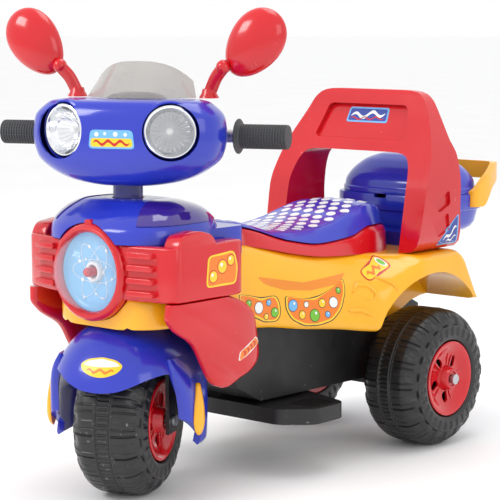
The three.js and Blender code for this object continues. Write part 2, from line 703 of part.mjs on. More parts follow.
function nacelle() {
  const half = [
    [0, lampFront + 2], [64, lampFront + 2], [100, lampFront + 7], [podOuter - 6, lampFront + 16],
    [podOuter, lampFront + 26], [podOuter, podRear - 12], [podOuter - 8, podRear], [0, podRear],
  ];
  const outline = [...half.slice(0, -1), ...half.slice(1, -1).map(([x, y]) => [-x, y]).reverse()];
  outline.splice(half.length - 1, 0, [podOuter - 14, podRear], [-podOuter + 14, podRear]);
  const band = prism(outline, 'z', nacelleBottom, nacelleTop);
  const innerX = tankRings[0][1] + 1;
  const hollowHalf = [
    [0, lampFront + 12], [92, lampFront + 16], [innerX, lampFront + 24], [innerX, podRear + 10], [0,
      podRear + 10],
  ];
  const hollow = prism(
    [...hollowHalf, ...hollowHalf.slice(1, -1).map(([x, y]) => [-x, y]).reverse()], 'z',
    nacelleBottom - 5, nacelleTop + 5,
  );
  const podHalf = [[lampFront + 18, nacelleTop - 1], [steerY - 4, nacelleTop - 1], [steerY + 20,
    nacelleTop - 1]];
  const crown = [...podHalf, [steerY + 14, nacelleTop + 14], [steerY - 6, nacelleTop + 18]];
  crown.push([lampFront + 30, nacelleTop + 12]);
  const crowns = [prism(crown, 'x', innerX + 1, podOuter - 1), prism(crown, 'x', -podOuter + 1, -innerX - 1)];
  const ribs = [0, 1, 2, 3].flatMap((i) => [-1, 1].map((side) => {
    const rib = box(-20, 20, -6, 3, -4.5, 4.5);
    rib.rotateZ(side * 0.12);
    return rib.translate(side * 92, lampFront + 5, nacelleBottom + 11 + i * 17);
  }));
  const ring = rod(lampRadius, 0, 40, 'y', 28);
  ring.translate(0, lampFront, lampZ);
  const well = rod(dialRadius + runningGap, -5, 60, 'y', 28);
  well.translate(0, lampFront, lampZ);
  const dome = tankDome(-gap);
  const podSlots = [-1, 1].map((side) => {
    const inner = podOuter - wall;
    const [from, to] = side > 0 ? [innerX + 3, inner] : [-inner, -innerX - 3];
    return box(from, to, lampFront + 34, podRear - 16, nacelleBottom - 5, nacelleTop - wall);
  });
  const body = join(cut(join(band, ...ribs), hollow), ring, ...crowns);
  return cut(body, well, dome, ...podSlots);
}

// The room that the lamp ring takes in the pieces around it.
function lampRoom() {
  return rod(lampRadius + runningGap, -40, 40 + gap, 'y', 28).translate(0, lampFront, lampZ);
}

function dialPlate() {
  const plateDisc = rod(dialRadius, 0, 4, 'y', 28);
  const disc = plateDisc.translate(0, lampFront + 10, lampZ);
  const post = rod(5.4, -20, 30, 'y', 12);
  post.translate(0, lampFront, lampZ);
  return cut(disc, post);
}

function dialHub() {
  const profile = [[0, -14], [5, -11], [7, -4], [7, 9], [5, 9.3], [5, 16], [0, 16]];
  return turned(profile, 'y', 16).translate(0, lampFront, lampZ);
}

function dialDome() {
  const rim = dialRadius;
  const reach = 46;
  const outer = [];
  const inner = [];
  for (let i = 0; i <= 4; i += 1) {
    const angle = (Math.PI / 2) * (i / 4);
    outer.push([rim * Math.cos(angle) ** 0.8 * 0.94, -reach * Math.sin(angle)]);
    inner.push([(rim - wall) * Math.cos(angle) ** 0.8 * 0.94, -(reach - wall) * Math.sin(angle)]);
  }
  outer.at(-1)[0] = 0;
  inner.at(-1)[0] = 0;
  const profile = [[rim, 9], [rim, 3], ...outer, ...inner.reverse(), [rim - wall, 9]];
  return turned([...profile, profile[0]], 'y', 20).translate(0, lampFront, lampZ);
}

// ---- Lower side fairings ----
function fairing() {
  const top = nacelleBottom - gap;
  const rows = [
    [0, -60, 58], [-18, -62, 98], [-34, -46, 112], [-61, -8, 118], [-86, 8, 121], [-106, 20, 106],
    [-119, 30, 74], [-126, 40, 62],
  ];
  const rings = rows.map(([drop, front, rear]) => {
    const y = steerY + (front + rear) / 2;
    const reach = (rear - front) / 2;
    const thick = drop < -110 ? 9 : 13;
    return levelRing(top - gap + drop, thick, reach, reach, { x: fairingX, y, square: 3, count: 16 });
  });
  const lobe = loft(rings);
  const hollow = loft(rings.slice(1, -1).map((ring, i) => ring.map((p) => {
    const middle = ring.reduce((sum, q) => sum.add(q), new THREE.Vector3()).divideScalar(ring.length);
    return p.clone().sub(middle).multiplyScalar(i > 4 ? 0.6 : 0.72).add(middle);
  })));
  const opening = box(fairingX - 30, fairingX, steerY + 35, steerY + 75, top - 75, top - 35);
  return cut(lobe, hollow, opening);
}

function flankGrown() {
  const rows = bodyRows().map(([y, zt, wt, zs, ws, zb, wb]) => [y, zt + 1, wt + 1, zs, ws + 1, zb - 60,
    wb + 1]);
  return join(loft(rows.map((r) => sectionRing(r))), loft(noseRows().map((r) => {
    const [y, zt, wt, zs, ws, zb, wb] = r;
    return sectionRing([y, zt, wt + 1, zs, ws + 1, zb - 10, wb + 1], 6);
  })));
}

// ---- Roll bar behind the seat ----
const barTop = deckZ + 241;
// Depth line of the recessed panel on the front of the roll bar.
const deckRecess = (height) => -30 + 7 + (height - 100) * (53 / 111);

function rollBar() {
  const foot = deckZ + gap;
  const outerHalf = [
    [barOuter, foot], [barOuter + 3, deckZ + 100], [barOuter - 8, deckZ + 153], [barOuter - 35, deckZ + 211],
    [barOuter - 46, deckZ + 233], [barOuter - 62, barTop],
  ];
  const innerHalf = [
    [barOuter - barLeg, foot - 5], [barOuter - barLeg, deckZ + 105], [barOuter - barLeg - 9, deckZ + 137],
    [barOuter - barLeg - 20, deckZ + 147],
  ];
  const arch = (half) => [...half, ...half.map(([x, z]) => [-x, z]).reverse()];
  const side = [
    [-50, foot - 5], [66, foot - 5], [60, deckZ + 74], [60, deckZ + 151], [51, deckZ + 164], [50, barTop - 3],
    [44, barTop + 5], [36, barTop + 5], [30, barTop - 4], [23, deckZ + 211], [-30, deckZ + 100],
  ];
  const frame = cut(prism(arch(outerHalf), 'y', -80, 100), prism(arch(innerHalf), 'y', -90, 110));
  const bar = common(frame, prism(side, 'x', -barOuter - 20, barOuter + 20));
  const hollowSide = inset(side, wall + 1);
  hollowSide[0][1] -= 10;
  hollowSide[1][1] -= 10;
  const legHollow = (s) => {
    const outline = [
      [barOuter - wall, foot - 5], [barOuter - wall, deckZ + 98], [barOuter - 12, deckZ + 148],
      [barOuter - barLeg - 2, deckZ + 140], [barOuter - barLeg + wall, deckZ + 104],
      [barOuter - barLeg + wall, foot - 5],
    ].map(([x, z]) => [s * x, z]);
    return common(prism(s > 0 ? outline : outline.reverse(), 'y', -80, 100), prism(hollowSide, 'x', -200,
      200));
  };
  const panel = [
    [-92, deckZ + 165], [92, deckZ + 165], [77, deckZ + 222], [-77, deckZ + 222],
  ];
  const recess = prism(panel, 'y', -60, 100);
  const recessSide = [
    [-60, deckZ + 150], [deckRecess(150), deckZ + 150], [deckRecess(230), deckZ + 230], [-60, deckZ + 230],
  ];
  const pocket = common(recess, prism(recessSide, 'x', -120, 120));
  const rearSide = recessSide.slice(1, 3).map(([y, z]) => [y + wall + 1, z]);
  const rearPocket = common(recess, prism([rearSide[0], [120, deckZ + 150], [120, deckZ + 230],
    rearSide[1]], 'x', -120, 120));
  return cut(bar, legHollow(1), legHollow(-1), pocket, rearPocket);
}

// ---- Trunk: tub, hinged lid and yellow pull handle ----
const trunkY = trunkFront + trunkDepth / 2;
const trunkFloor = deckZ + 15;

function trunkTub() {
  const ring = (z, a, b) => levelRing(z, a, b, b, { y: trunkY, square: 3.6 });
  const half = trunkDepth / 2;
  const rimA = trunkHalf;
  const outer = loft([
    ring(trunkFloor, rimA - 22, half - 22), ring(trunkFloor + 10, rimA - 9, half - 10),
    ring(trunkRim - 26, rimA - 4, half - 4), ring(trunkRim - 25, rimA, half), ring(trunkRim, rimA, half),
  ]);
  const inner = loft([
    ring(trunkFloor + wall, rimA - 24, half - 24), ring(trunkFloor + 12, rimA - 13, half - 14),
    ring(trunkRim + 5, rimA - 8, half - 8),
  ]);
  const foot = box(-80, 80, seatRear + 8, trunkFront + 24, deckZ + gap, trunkFloor + 3);
  const footHollow = box(-80 + wall, 80 - wall, seatRear + 11, trunkFront + 30, deckZ - 5, trunkFloor);
  const tail = prism([[44, -5], [tailY, -5], [tailY, deckZ - 20], [69, deckZ - 20], [50, deckZ + gap],
    [44, deckZ + gap]], 'x', -90, 90);
  const notch = box(-12, 12, trunkFront - 5, trunkFront + 12, trunkRim - 7, trunkRim + 5);
  const lugs = [-1, 1].map((s) => box(s * 40 - 9, s * 40 + 9, trunkFront + trunkDepth - 6, hingeY + 7,
    hingeZ - 7, hingeZ + 3.5));
  const pin = rod(2 + gap, -60, 60, 'x', 12);
  pin.translate(0, hingeY, hingeZ);
  return cut(join(cut(outer, inner), cut(foot, footHollow), ...lugs), tail, inner, notch, pin);
}

const hingeY = trunkFront + trunkDepth + 7;
const hingeZ = trunkRim - 4;

function trunkLid() {
  const half = trunkDepth / 2;
  const rimA = trunkHalf;
  const seat = trunkRim + gap;
  const ring = (z, a, b, shift = 0) => levelRing(z, a, b, b, { y: trunkY + shift, square: 2.9 });
  const outer = loft([
    ring(seat, rimA - 3, half - 3), ring(seat + 14, rimA - 5, half - 5), ring(seat + 36, rimA - 18,
      half - 17),
    ring(seat + 52, rimA - 40, half - 34), ring(seat + 62, rimA - 75, half - 58, -4),
  ]);
  const inner = loft([
    ring(seat - 5, rimA - 6, half - 6), ring(seat + 13, rimA - 8, half - 8), ring(seat + 34, rimA - 22,
      half - 21),
    ring(seat + 49, rimA - 45, half - 39), ring(seat + 59, rimA - 80, half - 63, -4),
  ]);
  const strap = box(-29, 29, trunkFront + trunkDepth - 10, hingeY + 2, seat, seat + 4);
  const knuckle = rod(5, -29, 29, 'x', 16);
  knuckle.translate(0, hingeY, hingeZ);
  const web = box(-29, 29, hingeY - 3.5, hingeY + 3.5, hingeZ, seat + 4);
  const pin = rod(2 + gap, -60, 60, 'x', 12);
  pin.translate(0, hingeY, hingeZ);
  return cut(join(cut(outer, inner), strap, knuckle, web), pin);
}

function hingePin() {
  return rod(2, -50, 50, 'x', 12).translate(0, hingeY, hingeZ);
}

// A bow that grips the tub under its rim on both sides and stands clear behind it.
function trunkHandle() {
  const x = trunkHalf + gap;
  const rearY = trunkFront + trunkDepth + 32;
  const outlineHalf = [
    [x + 9, trunkY + 12], [x + 9, trunkY + 55], [x - 6, rearY - 14], [x - 22, rearY],
  ];
  const innerHalf = [[x - 27, rearY - 8], [x - 13, rearY - 20], [x, trunkY + 52], [x, trunkY + 12]];
  const bow = prism(bowOutline(outlineHalf, innerHalf), 'z', trunkRim - 22, trunkRim + 48);
  const profile = [
    [trunkY + 5, trunkRim - 21], [trunkY + 42, trunkRim - 21], [trunkY + 66, trunkRim + 6], [rearY - 20,
      trunkRim + 18],
    [rearY + 5, trunkRim + 18], [rearY + 5, trunkRim + 46], [rearY - 22, trunkRim + 46],
    [trunkY + 46, trunkRim + 28], [trunkY + 5, trunkRim - 2],
  ];
  return common(bow, prism(profile, 'x', -x - 20, x + 20));
}

// ---- Front fork, fender and front axle ----
const fenderRows = [
  [0, 0.2, 0.19, 0.2], [3, 0.36, 0.33, 0.36], [10, 0.46, 0.48, 0.46], [19, 0.57, 0.62, 0.55],
  [43, 0.76, 0.83, 0.68], [63, 0.85, 0.94, 0.74], [85, 0.91, 1, 0.78], [114, 0.955, 1.01, 0.78], [172, 1,
    1.01, 0.78],
];

function bell(grow) {
  const rings = fenderRows.map(([drop, a, f, r]) => {
    const z = fenderTop + grow - drop;
    const [ha, hf, hr] = [a * fenderHalf + grow, f * fenderReach + grow, r * fenderReach + grow];
    return levelRing(z, ha, hf, hr, { square: 2.4 });
  });
  if (grow < 0) rings.push(rings.at(-1).map((p) => p.clone().setZ(0)));
  return loft(rings);
}

function legCover(side) {
  const outerX = fenderHalf;
  const innerX = wheelWidth / 2 + 19;
  const middle = (outerX + innerX) / 2;
  const half = (outerX - innerX) / 2;
  const low = wheelRadius - 29;
  const top = 2 * wheelRadius - 24;
  const rings = [[low, 1, 40], [low + 40, 0.97, 42], [low + 80, 0.9, 46], [top, 0.8, 52]].map(([z, share,
    reach]) =>
    levelRing(z, half, reach, reach - 6, { x: middle - (1 - share) * half, square: 3.2, count: 20 }));
  const shell = loft(rings);
  const hollow = loft([[low - 5, 36], [low + 40, 38], [low + 80, 42], [top + 5, 48]].map(([z, reach]) =>
    levelRing(z, half + 6, reach, reach - 6, { x: middle - half * 0.2 - 9 - wall, square: 3.2, count: 20 })));
  const slope = prism([[innerX - 30, low - 10], [outerX + 10, low - 10], [outerX - 5, low], [innerX - 30,
    low + 30]], 'y', -90, 90);
  const leg = cut(shell, hollow, slope);
  return side > 0 ? leg : mirrored(leg);
}

function fender() {
  const shell = cut(bell(0), bell(-wall));
  const low = fenderTop - 86;
  const front = prism([
    [-130, 0], [130, 0], [130, low - 60], [104, low - 30], [98, low - 6], [90, low + 12], [78, low + 19],
      [60, low + 15],
    [30, low + 4], [0, low], [-30, low + 4], [-60, low + 15], [-78, low + 19], [-90, low + 12], [-98,
      low - 6],
    [-104, low - 30], [-130, low - 60],
  ], 'y', -200, -38);
  const rear = box(-150, 150, 30, 200, 0, fenderTop - 75);
  const between = box(-wheelWidth / 2 - 18, wheelWidth / 2 + 18, -60, 60, 0, 2 * wheelRadius - 40);
  const centre = box(-150, 150, -60, 60, 0, 2 * wheelRadius - 45);
  const trimmed = cut(shell, front, rear, between, centre);
  const hole = rod(stemRadius + 0.5, fenderTop - 20, fenderTop + 10, 'z', 20);
  return cut(join(trimmed, legCover(1), legCover(-1)), hole);
}

function forkBoss() {
  const rings = [[-30, 3], [-22, 10], [-8, 14], [8, 12], [28, 8], [40, 3]].map(([rise, reach]) =>
    levelRing(wheelRadius + 17 + rise, reach * 0.5 + 2, reach, reach, { x: fenderHalf - 1, y: -18,
      square: 2, count: 14 }));
  return cut(loft(rings), legGrown());
}

function legGrown() {
  const outerX = fenderHalf + gap;
  return join(bell(gap), box(wheelWidth / 2, outerX, -60, 50, wheelRadius - 40, wheelRadius + 60));
}

const forkInner = wheelWidth / 2 + 7;
const forkTopZ = 2 * wheelRadius + 6;

function forkFrame() {
  const half = [[forkInner, wheelRadius - 17], [forkInner + 5, wheelRadius - 17], [forkInner + 5,
    forkTopZ - 8], [forkInner - 8, forkTopZ + 5]];
  const inner = [[forkInner - 10, forkTopZ], [forkInner, forkTopZ - 10]];
  const bow = prism(bowOutline(half, inner), 'y', -18, 18);
  const bore = rod(axleRadius + gap, -100, 100, 'x', 16);
  return cut(bow, bore.translate(0, 0, wheelRadius));
}

function frontAxle() {
  return headedPin(forkInner + 5 + gap).translate(0, 0, wheelRadius);
}

// The steel stem with the saddle that the handlebar rests on.
function steeringStem() {
  const saddleZ = barZ - barTubeRadius - gap;
  const stem = rod(stemRadius, forkTopZ + 5 + gap, saddleZ - 4, 'z', 20);
  return join(stem, box(-13, 13, -12, barY + 10, saddleZ - 12, saddleZ));
}

function columnCover() {
  return tube(stemRadius + gap, columnRadius, headTubeTop + 10, headBottom + 14, 'z');
}

// ---- Handlebar head ----
const headY = 8;
const headRows = [
  [0, 46, 34], [6, 78, 48], [18, 106, 58], [40, 131, 66], [67, 136, 68], [91, 134, 66], [107, 119, 60],
    [115, 106, 52],
];
const lampX = 74.3;
const lampY = -35;
const lampLift = 74;
const lampToe = 24;
const headlampRadius = 37;

function headSkin(shrinkBy) {
  return loft(headRows.map(([rise, a, b], i) => {
    const ends = i === 0 ? shrinkBy : (i === headRows.length - 1 ? -shrinkBy : 0);
    return levelRing(headBottom + rise + ends, a - shrinkBy, b - shrinkBy, b - shrinkBy, { y: headY,
      square: 2.6, count: 20 });
  }));
}

function lampTool(side, radius, from, to) {
  const tool = rod(radius, from, to, 'y', 20);
  tool.rotateZ(side * THREE.MathUtils.degToRad(lampToe));
  return tool.translate(side * lampX, lampY, headBottom + lampLift);
}

function headShell(front) {
  const shell = cut(headSkin(0), headSkin(wall));
  const split = headY + 4;
  const keep = front ? box(-200, 200, -200, split - gap, 0, 900) : box(-200, 200, split, 200, 0, 900);
  const column = rod(columnRadius + gap, headBottom - 10, headBottom + 20, 'z');
  const bar = rod(barTubeRadius + gap, -200, 200, 'x', 20);
  bar.translate(0, barY, barZ);
  const half = cut(common(shell, keep), column, bar);
  if (front) return cut(half, lampTool(1, headlampRadius + runningGap, -40, 45), lampTool(-1,
    headlampRadius + runningGap, -40, 45));
  const buttons = [-1, 1].map((side) => {
    const hole = rod(buttonRadius + 0.6, 20, 90, 'y', 16);
    return hole.translate(side * buttonX, 0, buttonZ);
  });
  return cut(half, ...buttons);
}

const buttonRadius = 8;
const buttonX = 42;
const buttonZ = headBottom + 94;

function soundButton(side) {
  const button = turned([[0, 54], [buttonRadius, 54], [buttonRadius, 73], [buttonRadius - 2, 76], [0,
    76]], 'y', 16);
  return button.translate(side * buttonX, 0, buttonZ);
}

function headlampReflector(side) {
  const r = headlampRadius;
  const profile = [
    [r, -4], [r, 6], [r - 4, 8], [12, 26], [0, 28], [0, 25], [11, 23], [r - 8, 4], [r - 6, -2], [r - 4, -6],
  ];
  const cup = turned([...profile, profile[0]], 'y', 18);
  return placeLamp(cup, side);
}

function headlampLens(side) {
  const r = headlampRadius - 7;
  const profile = [[0, -8], [r * 0.6, -7], [r, -3.5], [r, 0], [r * 0.6, -4], [0, -5]];
  return placeLamp(turned(profile, 'y', 18), side);
}

function placeLamp(shape, side) {
  shape.rotateZ(side * THREE.MathUtils.degToRad(lampToe));
  return shape.translate(side * lampX, lampY, headBottom + lampLift);
}

function handlebarTube() {
  return tube(barTubeRadius - 1.5, barTubeRadius, -gripEnd + 6, gripEnd - 6, 'x', 20).translate(0, barY,
    barZ);
}

function grip(side) {
  const bore = barTubeRadius + gap;
  const profile = [
    [bore, gripStart], [24, gripStart], [24, gripStart + 3], [17, gripStart + 5], [17, gripEnd - 2], [15,
      gripEnd],
    [0, gripEnd], [0, gripEnd - 5], [bore, gripEnd - 5],
  ];
  const sleeve = turned([...profile, profile[0]], 'x', 16).translate(0, barY, barZ);
  return side > 0 ? sleeve : mirrored(sleeve);
}

// A curved clear screen standing on top of the head.
function windshield() {
  const base = headTop + gap;
  const place = (u, v) => {
    const s = 2 * u - 1;
    const height = 50 * (1 - 0.55 * Math.abs(s) ** 3);
    const x = 80 * s * (1 - 0.12 * v);
    return new THREE.Vector3(x, 8 + 44 * s * s + 30 * v - 14 * v * s * s, base + height * v);
  };
  return plate(place, 10, 3, 2.5);
}

function dashHood() {
  const base = headTop + gap;
  return loft([
    levelRing(base, 44, 14, 22, { y: 34, square: 2.6, count: 20 }),
    levelRing(base + 5, 36, 10, 18, { y: 35, square: 2.4, count: 20 }),
    levelRing(base + 8, 20, 5, 9, { y: 36, square: 2.2, count: 20 }),
  ]);
}

// ---- Mirrors ----
const mirrorX = 161;
const mirrorZ = headBottom + 190;
const mirrorY = 62;
const mirrorTilt = 38;

function egg(grow) {
  const shell = new THREE.SphereGeometry(1, 14, 9);
  const position = shell.attributes.position;
  for (let i = 0; i < position.count; i += 1) {
    const [x, y, z] = [position.getX(i), position.getY(i), position.getZ(i)];
    const width = 37 * (1 + 0.14 * y);
    position.setXYZ(i, x * (width + grow), -z * (z > 0 ? 22 + grow : 12 + grow), y * (52 + grow));
  }
  const solid = outward(shell);
  solid.rotateY(THREE.MathUtils.degToRad(mirrorTilt));
  return solid.translate(mirrorX, mirrorY, mirrorZ);
}

// The ball on the end of the stem, which the shell turns on.
const knuckleRadius = 10;

function knuckle(grow) {
  return new THREE.SphereGeometry(knuckleRadius + grow, 14, 9).translate(mirrorX - 41, mirrorY - 12,
    mirrorZ - 32);
}

function mirrorBack() {
  const back = box(0, 400, mirrorY + 6, mirrorY + 60, 0, 900);
  return cut(egg(0), back, egg(-wall), knuckle(gap));
}

function mirrorGlass() {
  return common(egg(-wall - gap), box(0, 400, mirrorY + 3.5 + gap, mirrorY + 5.7, 0, 900));
}

function mirrorStem() {
  const z = headTop + gap;
  const path = new THREE.CatmullRomCurve3([
    [96, mirrorY - 4, z], [101, mirrorY - 5, z + 13], [109, mirrorY - 8, z + 28],
    [mirrorX - 44, mirrorY - 11, mirrorZ - 36],
  ].map((p) => new THREE.Vector3(...p)));
  const section = new THREE.Shape();
  section.absellipse(0, 0, 7, 9, 0, 2 * Math.PI);
  const stem = new THREE.ExtrudeGeometry(section, { steps: 7, extrudePath: path, curveSegments: 4 });
  const head = box(-300, 300, -200, 200, 0, z);
  return cut(join(stem, knuckle(0)), head);
}

// ---- Putting the pieces together ----
function addFrame() {
  add(trike, 'chassis_tray', chassisTray(), black);
  add(trike, 'rear_axle', rearAxle(), steel);
  add(trike, 'drive_sleeve', driveSleeve(), nylon);
  add(trike, 'motor_gearbox', motorGearbox(), black);
  add(trike, 'battery', battery(), black);
  add(trike, 'steering_bush', steeringBush(), nylon);
  add(trike, 'footboard', footboard(), black);
  add(trike, 'accelerator_pedal', pedal(), red);
}

function addBody() {
  add(trike, 'body_shell', bodyShell(), yellow);
  add(trike, 'drive_switch', driveSwitch(), red);
  add(trike, 'seat_base', seatBase(), red);
  add(trike, 'seat_pad', seatPad(), blue);
  add(trike, 'tank_cover', tankCover(), blue);
  add(trike, 'tank_window_left', tankWindow(), purple);
  add(trike, 'tank_window_right', mirrored(tankWindow()), purple);
  add(trike, 'nacelle', nacelle(), red);
  add(trike, 'dial_plate', dialPlate(), dialBlue);
  add(trike, 'dial_hub', dialHub(), red);
  add(trike, 'dial_dome', dialDome(), clear);
  const lobe = cut(fairing(), flankGrown());
  add(trike, 'side_fairing_left', lobe, red);
  add(trike, 'side_fairing_right', mirrored(lobe), red);
  add(trike, 'roll_bar', rollBar(), red);
  add(trike, 'trunk_tub', trunkTub(), blue);
  add(trike, 'trunk_lid', trunkLid(), blue);
  add(trike, 'trunk_hinge_pin', hingePin(), steel);
  add(trike, 'trunk_handle', trunkHandle(), yellow);
}

function addSteering() {
  add(steering, 'fender', fender(), blue);
  add(steering, 'fork_frame', forkFrame(), black);
  add(steering, 'front_axle', frontAxle(), steel);
  add(steering, 'steering_stem', steeringStem(), steel);
  add(steering, 'column_cover', columnCover(), navy);
  add(steering, 'head_front', headShell(true), blue);
  add(steering, 'head_rear', headShell(false), blue);
  add(steering, 'handlebar_tube', handlebarTube(), steel);
  add(steering, 'dash_hood', dashHood(), navy);
  add(steering, 'windshield', windshield(), amber);
  add(steering, 'horn_button', soundButton(1), red);
  for (const [label, side] of [['left', 1], ['right', -1]]) {
    const sided = (shape) => (side > 0 ? shape : mirrored(shape));
    add(steering, `fork_boss_${label}`, sided(forkBoss()), yellow);
    add(steering, `headlamp_reflector_${label}`, headlampReflector(side), chrome);
    add(steering, `headlamp_lens_${label}`, headlampLens(side), clear);
    add(steering, `grip_${label}`, grip(side), rubberGrey);
    add(steering, `mirror_stem_${label}`, sided(mirrorStem()), red);
    add(steering, `mirror_back_${label}`, sided(mirrorBack()), red);
    add(steering, `mirror_glass_${label}`, sided(mirrorGlass()), glass);
  }
}

addWheels();
addFrame();
addBody();
addSteering();

trike.updateMatrixWorld(true);
const extent = new THREE.Box3().setFromObject(trike, true);
const middle = extent.getCenter(new THREE.Vector3());
trike.position.set(-middle.x, -middle.y, -extent.min.z);

export default trike;
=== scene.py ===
import json
import math

import bmesh
import bpy
import numpy as np
from mathutils import Matrix, Vector
from mathutils.bvhtree import BVHTree


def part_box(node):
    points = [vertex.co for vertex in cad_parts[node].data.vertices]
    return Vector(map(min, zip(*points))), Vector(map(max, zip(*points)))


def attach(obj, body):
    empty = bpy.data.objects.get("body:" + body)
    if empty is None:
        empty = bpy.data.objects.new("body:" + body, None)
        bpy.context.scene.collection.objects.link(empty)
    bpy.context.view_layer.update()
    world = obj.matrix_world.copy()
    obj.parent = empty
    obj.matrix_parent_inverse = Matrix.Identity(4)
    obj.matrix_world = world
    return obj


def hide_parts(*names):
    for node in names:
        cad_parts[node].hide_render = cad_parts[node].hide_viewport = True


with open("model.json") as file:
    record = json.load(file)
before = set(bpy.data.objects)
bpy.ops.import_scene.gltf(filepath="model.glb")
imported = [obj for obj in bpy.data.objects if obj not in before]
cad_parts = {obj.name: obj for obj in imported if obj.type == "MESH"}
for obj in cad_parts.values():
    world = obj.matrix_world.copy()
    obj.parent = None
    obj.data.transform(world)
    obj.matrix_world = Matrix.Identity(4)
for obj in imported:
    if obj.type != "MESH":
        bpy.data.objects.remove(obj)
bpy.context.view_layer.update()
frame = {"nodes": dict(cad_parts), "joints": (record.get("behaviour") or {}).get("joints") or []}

# The looks of a battery-powered children's tricycle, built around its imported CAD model.
# Shapes are written in millimetres in one of two places: TRIKE has the middle plane at x = 0,
# the rear axle at y = 0 and the ground at z = 0, and FORK is centred on the steering axis and
# turned with the fork. +x is the rider's left and -y the front in both.
JOINTS = {joint["name"]: joint for joint in frame["joints"]}
STEER = JOINTS["steering_turn"]["pos_m"]
REAR_AXLE_Y = JOINTS["rear_left_spin"]["pos_m"][1]
SPIN_AXIS = JOINTS["front_wheel_spin"]["axis"]
FORK_TURN = math.atan2(SPIN_AXIS[1], SPIN_AXIS[0])
TO_METRES = Matrix.Scale(0.001, 4)
TRIKE = Matrix.Translation((STEER[0], REAR_AXLE_Y, 0)) @ TO_METRES
FORK = Matrix.Translation((STEER[0], STEER[1], 0)) @ Matrix.Rotation(FORK_TURN, 4, "Z") @ TO_METRES
STEER_Y = (STEER[1] - REAR_AXLE_Y) * 1000
SIDES = (("left", 1), ("right", -1))


def size_mm(node):
    """Lowest and highest corner of a CAD node, in millimetres in the TRIKE place."""
    low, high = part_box(node)
    back = TRIKE.inverted()
    return back @ low, back @ high


# ---- Camera ----
CAMERA_PLACE = Vector((1767, -2314, 660))
CAMERA_AZIMUTH = math.radians(40.7)
CAMERA_DROP = math.radians(7.3)
CAMERA_LENS = 133.8


def make_camera():
    data = bpy.data.cameras.new("camera")
    data.lens = CAMERA_LENS
    data.sensor_width = 36
    data.clip_end = 50
    camera = bpy.data.objects.new("camera", data)
    bpy.context.scene.collection.objects.link(camera)
    camera.location = TRIKE @ CAMERA_PLACE
    camera.rotation_euler = (math.pi / 2 - CAMERA_DROP, 0, CAMERA_AZIMUTH)
    bpy.context.scene.camera = camera


make_camera()


# ---- Meshes ----
def new_object(name, points, faces, place=TRIKE, sharp=35):
    """A mesh object from points in millimetres, its faces turned outwards and smooth but for sharp edges."""
    mesh = bpy.data.meshes.new(name)
    mesh.from_pydata([place @ Vector(p) for p in points], [], [list(f) for f in faces])
    work = bmesh.new()
    work.from_mesh(mesh)
    bmesh.ops.remove_doubles(work, verts=work.verts, dist=1e-6)
    bmesh.ops.recalc_face_normals(work, faces=work.faces)
    work.to_mesh(mesh)
    work.free()
    smooth(mesh, sharp)
    made = bpy.data.objects.new(name, mesh)
    bpy.context.scene.collection.objects.link(made)
    return made


def smooth(mesh, sharp=35):
    mesh.shade_smooth()
    mesh.set_sharp_from_angle(angle=math.radians(sharp))


def settle(piece, sharp=35):
    """Makes the modifiers part of the mesh."""
    graph = bpy.context.evaluated_depsgraph_get()
    mesh = bpy.data.meshes.new_from_object(piece.evaluated_get(graph))
    piece.modifiers.clear()
    piece.data = mesh
    smooth(mesh, sharp)
    return piece


def add_modifier(piece, kind, **settings):
    modifier = piece.modifiers.new(kind.lower(), kind)
    for name, value in settings.items():
        setattr(modifier, name, value)
    return modifier


def boolean(piece, tools, operation="DIFFERENCE"):
    """Cuts or joins other objects into a piece and removes them."""
    for tool in tools:
        add_modifier(piece, "BOOLEAN", object=tool, operation=operation, solver="MANIFOLD")
    settle(piece)
    for tool in tools:
        bpy.data.objects.remove(tool)
    return piece


def tool(shape, place=TRIKE):
    return new_object("tool", *shape, place)


def cut(piece, *shapes, place=TRIKE):
    return boolean(piece, [tool(shape, place) for shape in shapes])


def unite(piece, *shapes, place=TRIKE):
    return boolean(piece, [tool(shape, place) for shape in shapes], "UNION")


def keep_inside(piece, shape, place=TRIKE):
    return boolean(piece, [tool(shape, place)], "INTERSECT")


def bevel(piece, width, segments=3, angle=38):
    """Rounds the hard edges; width in millimetres."""
    add_modifier(piece, "BEVEL", width=width / 1000, segments=segments, limit_method="ANGLE",
                 angle_limit=math.radians(angle), harden_normals=True, miter_outer="MITER_ARC")
    return piece


def thicken(piece, thickness, inwards=True):
    add_modifier(piece, "SOLIDIFY", thickness=thickness / 1000, offset=-1 if inwards else 1)
    return piece


def finish_piece(piece, body, material, replaced):
    """Gives a moulding its body and look, in place of one CAD node."""
    piece.data.materials.clear()
    piece.data.materials.append(material)
    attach(piece, body)
    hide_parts(replaced)
    return piece


def add_piece(name, shape, body, material, replaced, place=TRIKE, sharp=35):
    return finish_piece(new_object(name, *shape, place, sharp), body, material, replaced)


def decorate(name, shape, material, body, place=TRIKE, sharp=35):
    """A print or small detail that stands for no CAD node."""
    piece = new_object(name, *shape, place, sharp)
    piece.data.materials.append(material)
    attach(piece, body)
    return piece


# ---- Curves and rings of points ----
def slopes(x, y):
    """Slopes for a curve that passes through every point without swinging past any."""
    h = np.diff(x)
    d = np.diff(y, axis=0) / h[:, None]
    out = np.zeros_like(y)
    inner = d[:-1] * d[1:]
    w1 = (2 * h[1:] + h[:-1])[:, None]
    w2 = (h[1:] + 2 * h[:-1])[:, None]
    with np.errstate(divide="ignore", invalid="ignore"):
        mean = (w1 + w2) / (w1 / d[:-1] + w2 / d[1:])
    out[1:-1] = np.where(inner > 0, mean, 0)
    out[0], out[-1] = d[0], d[-1]
    return out


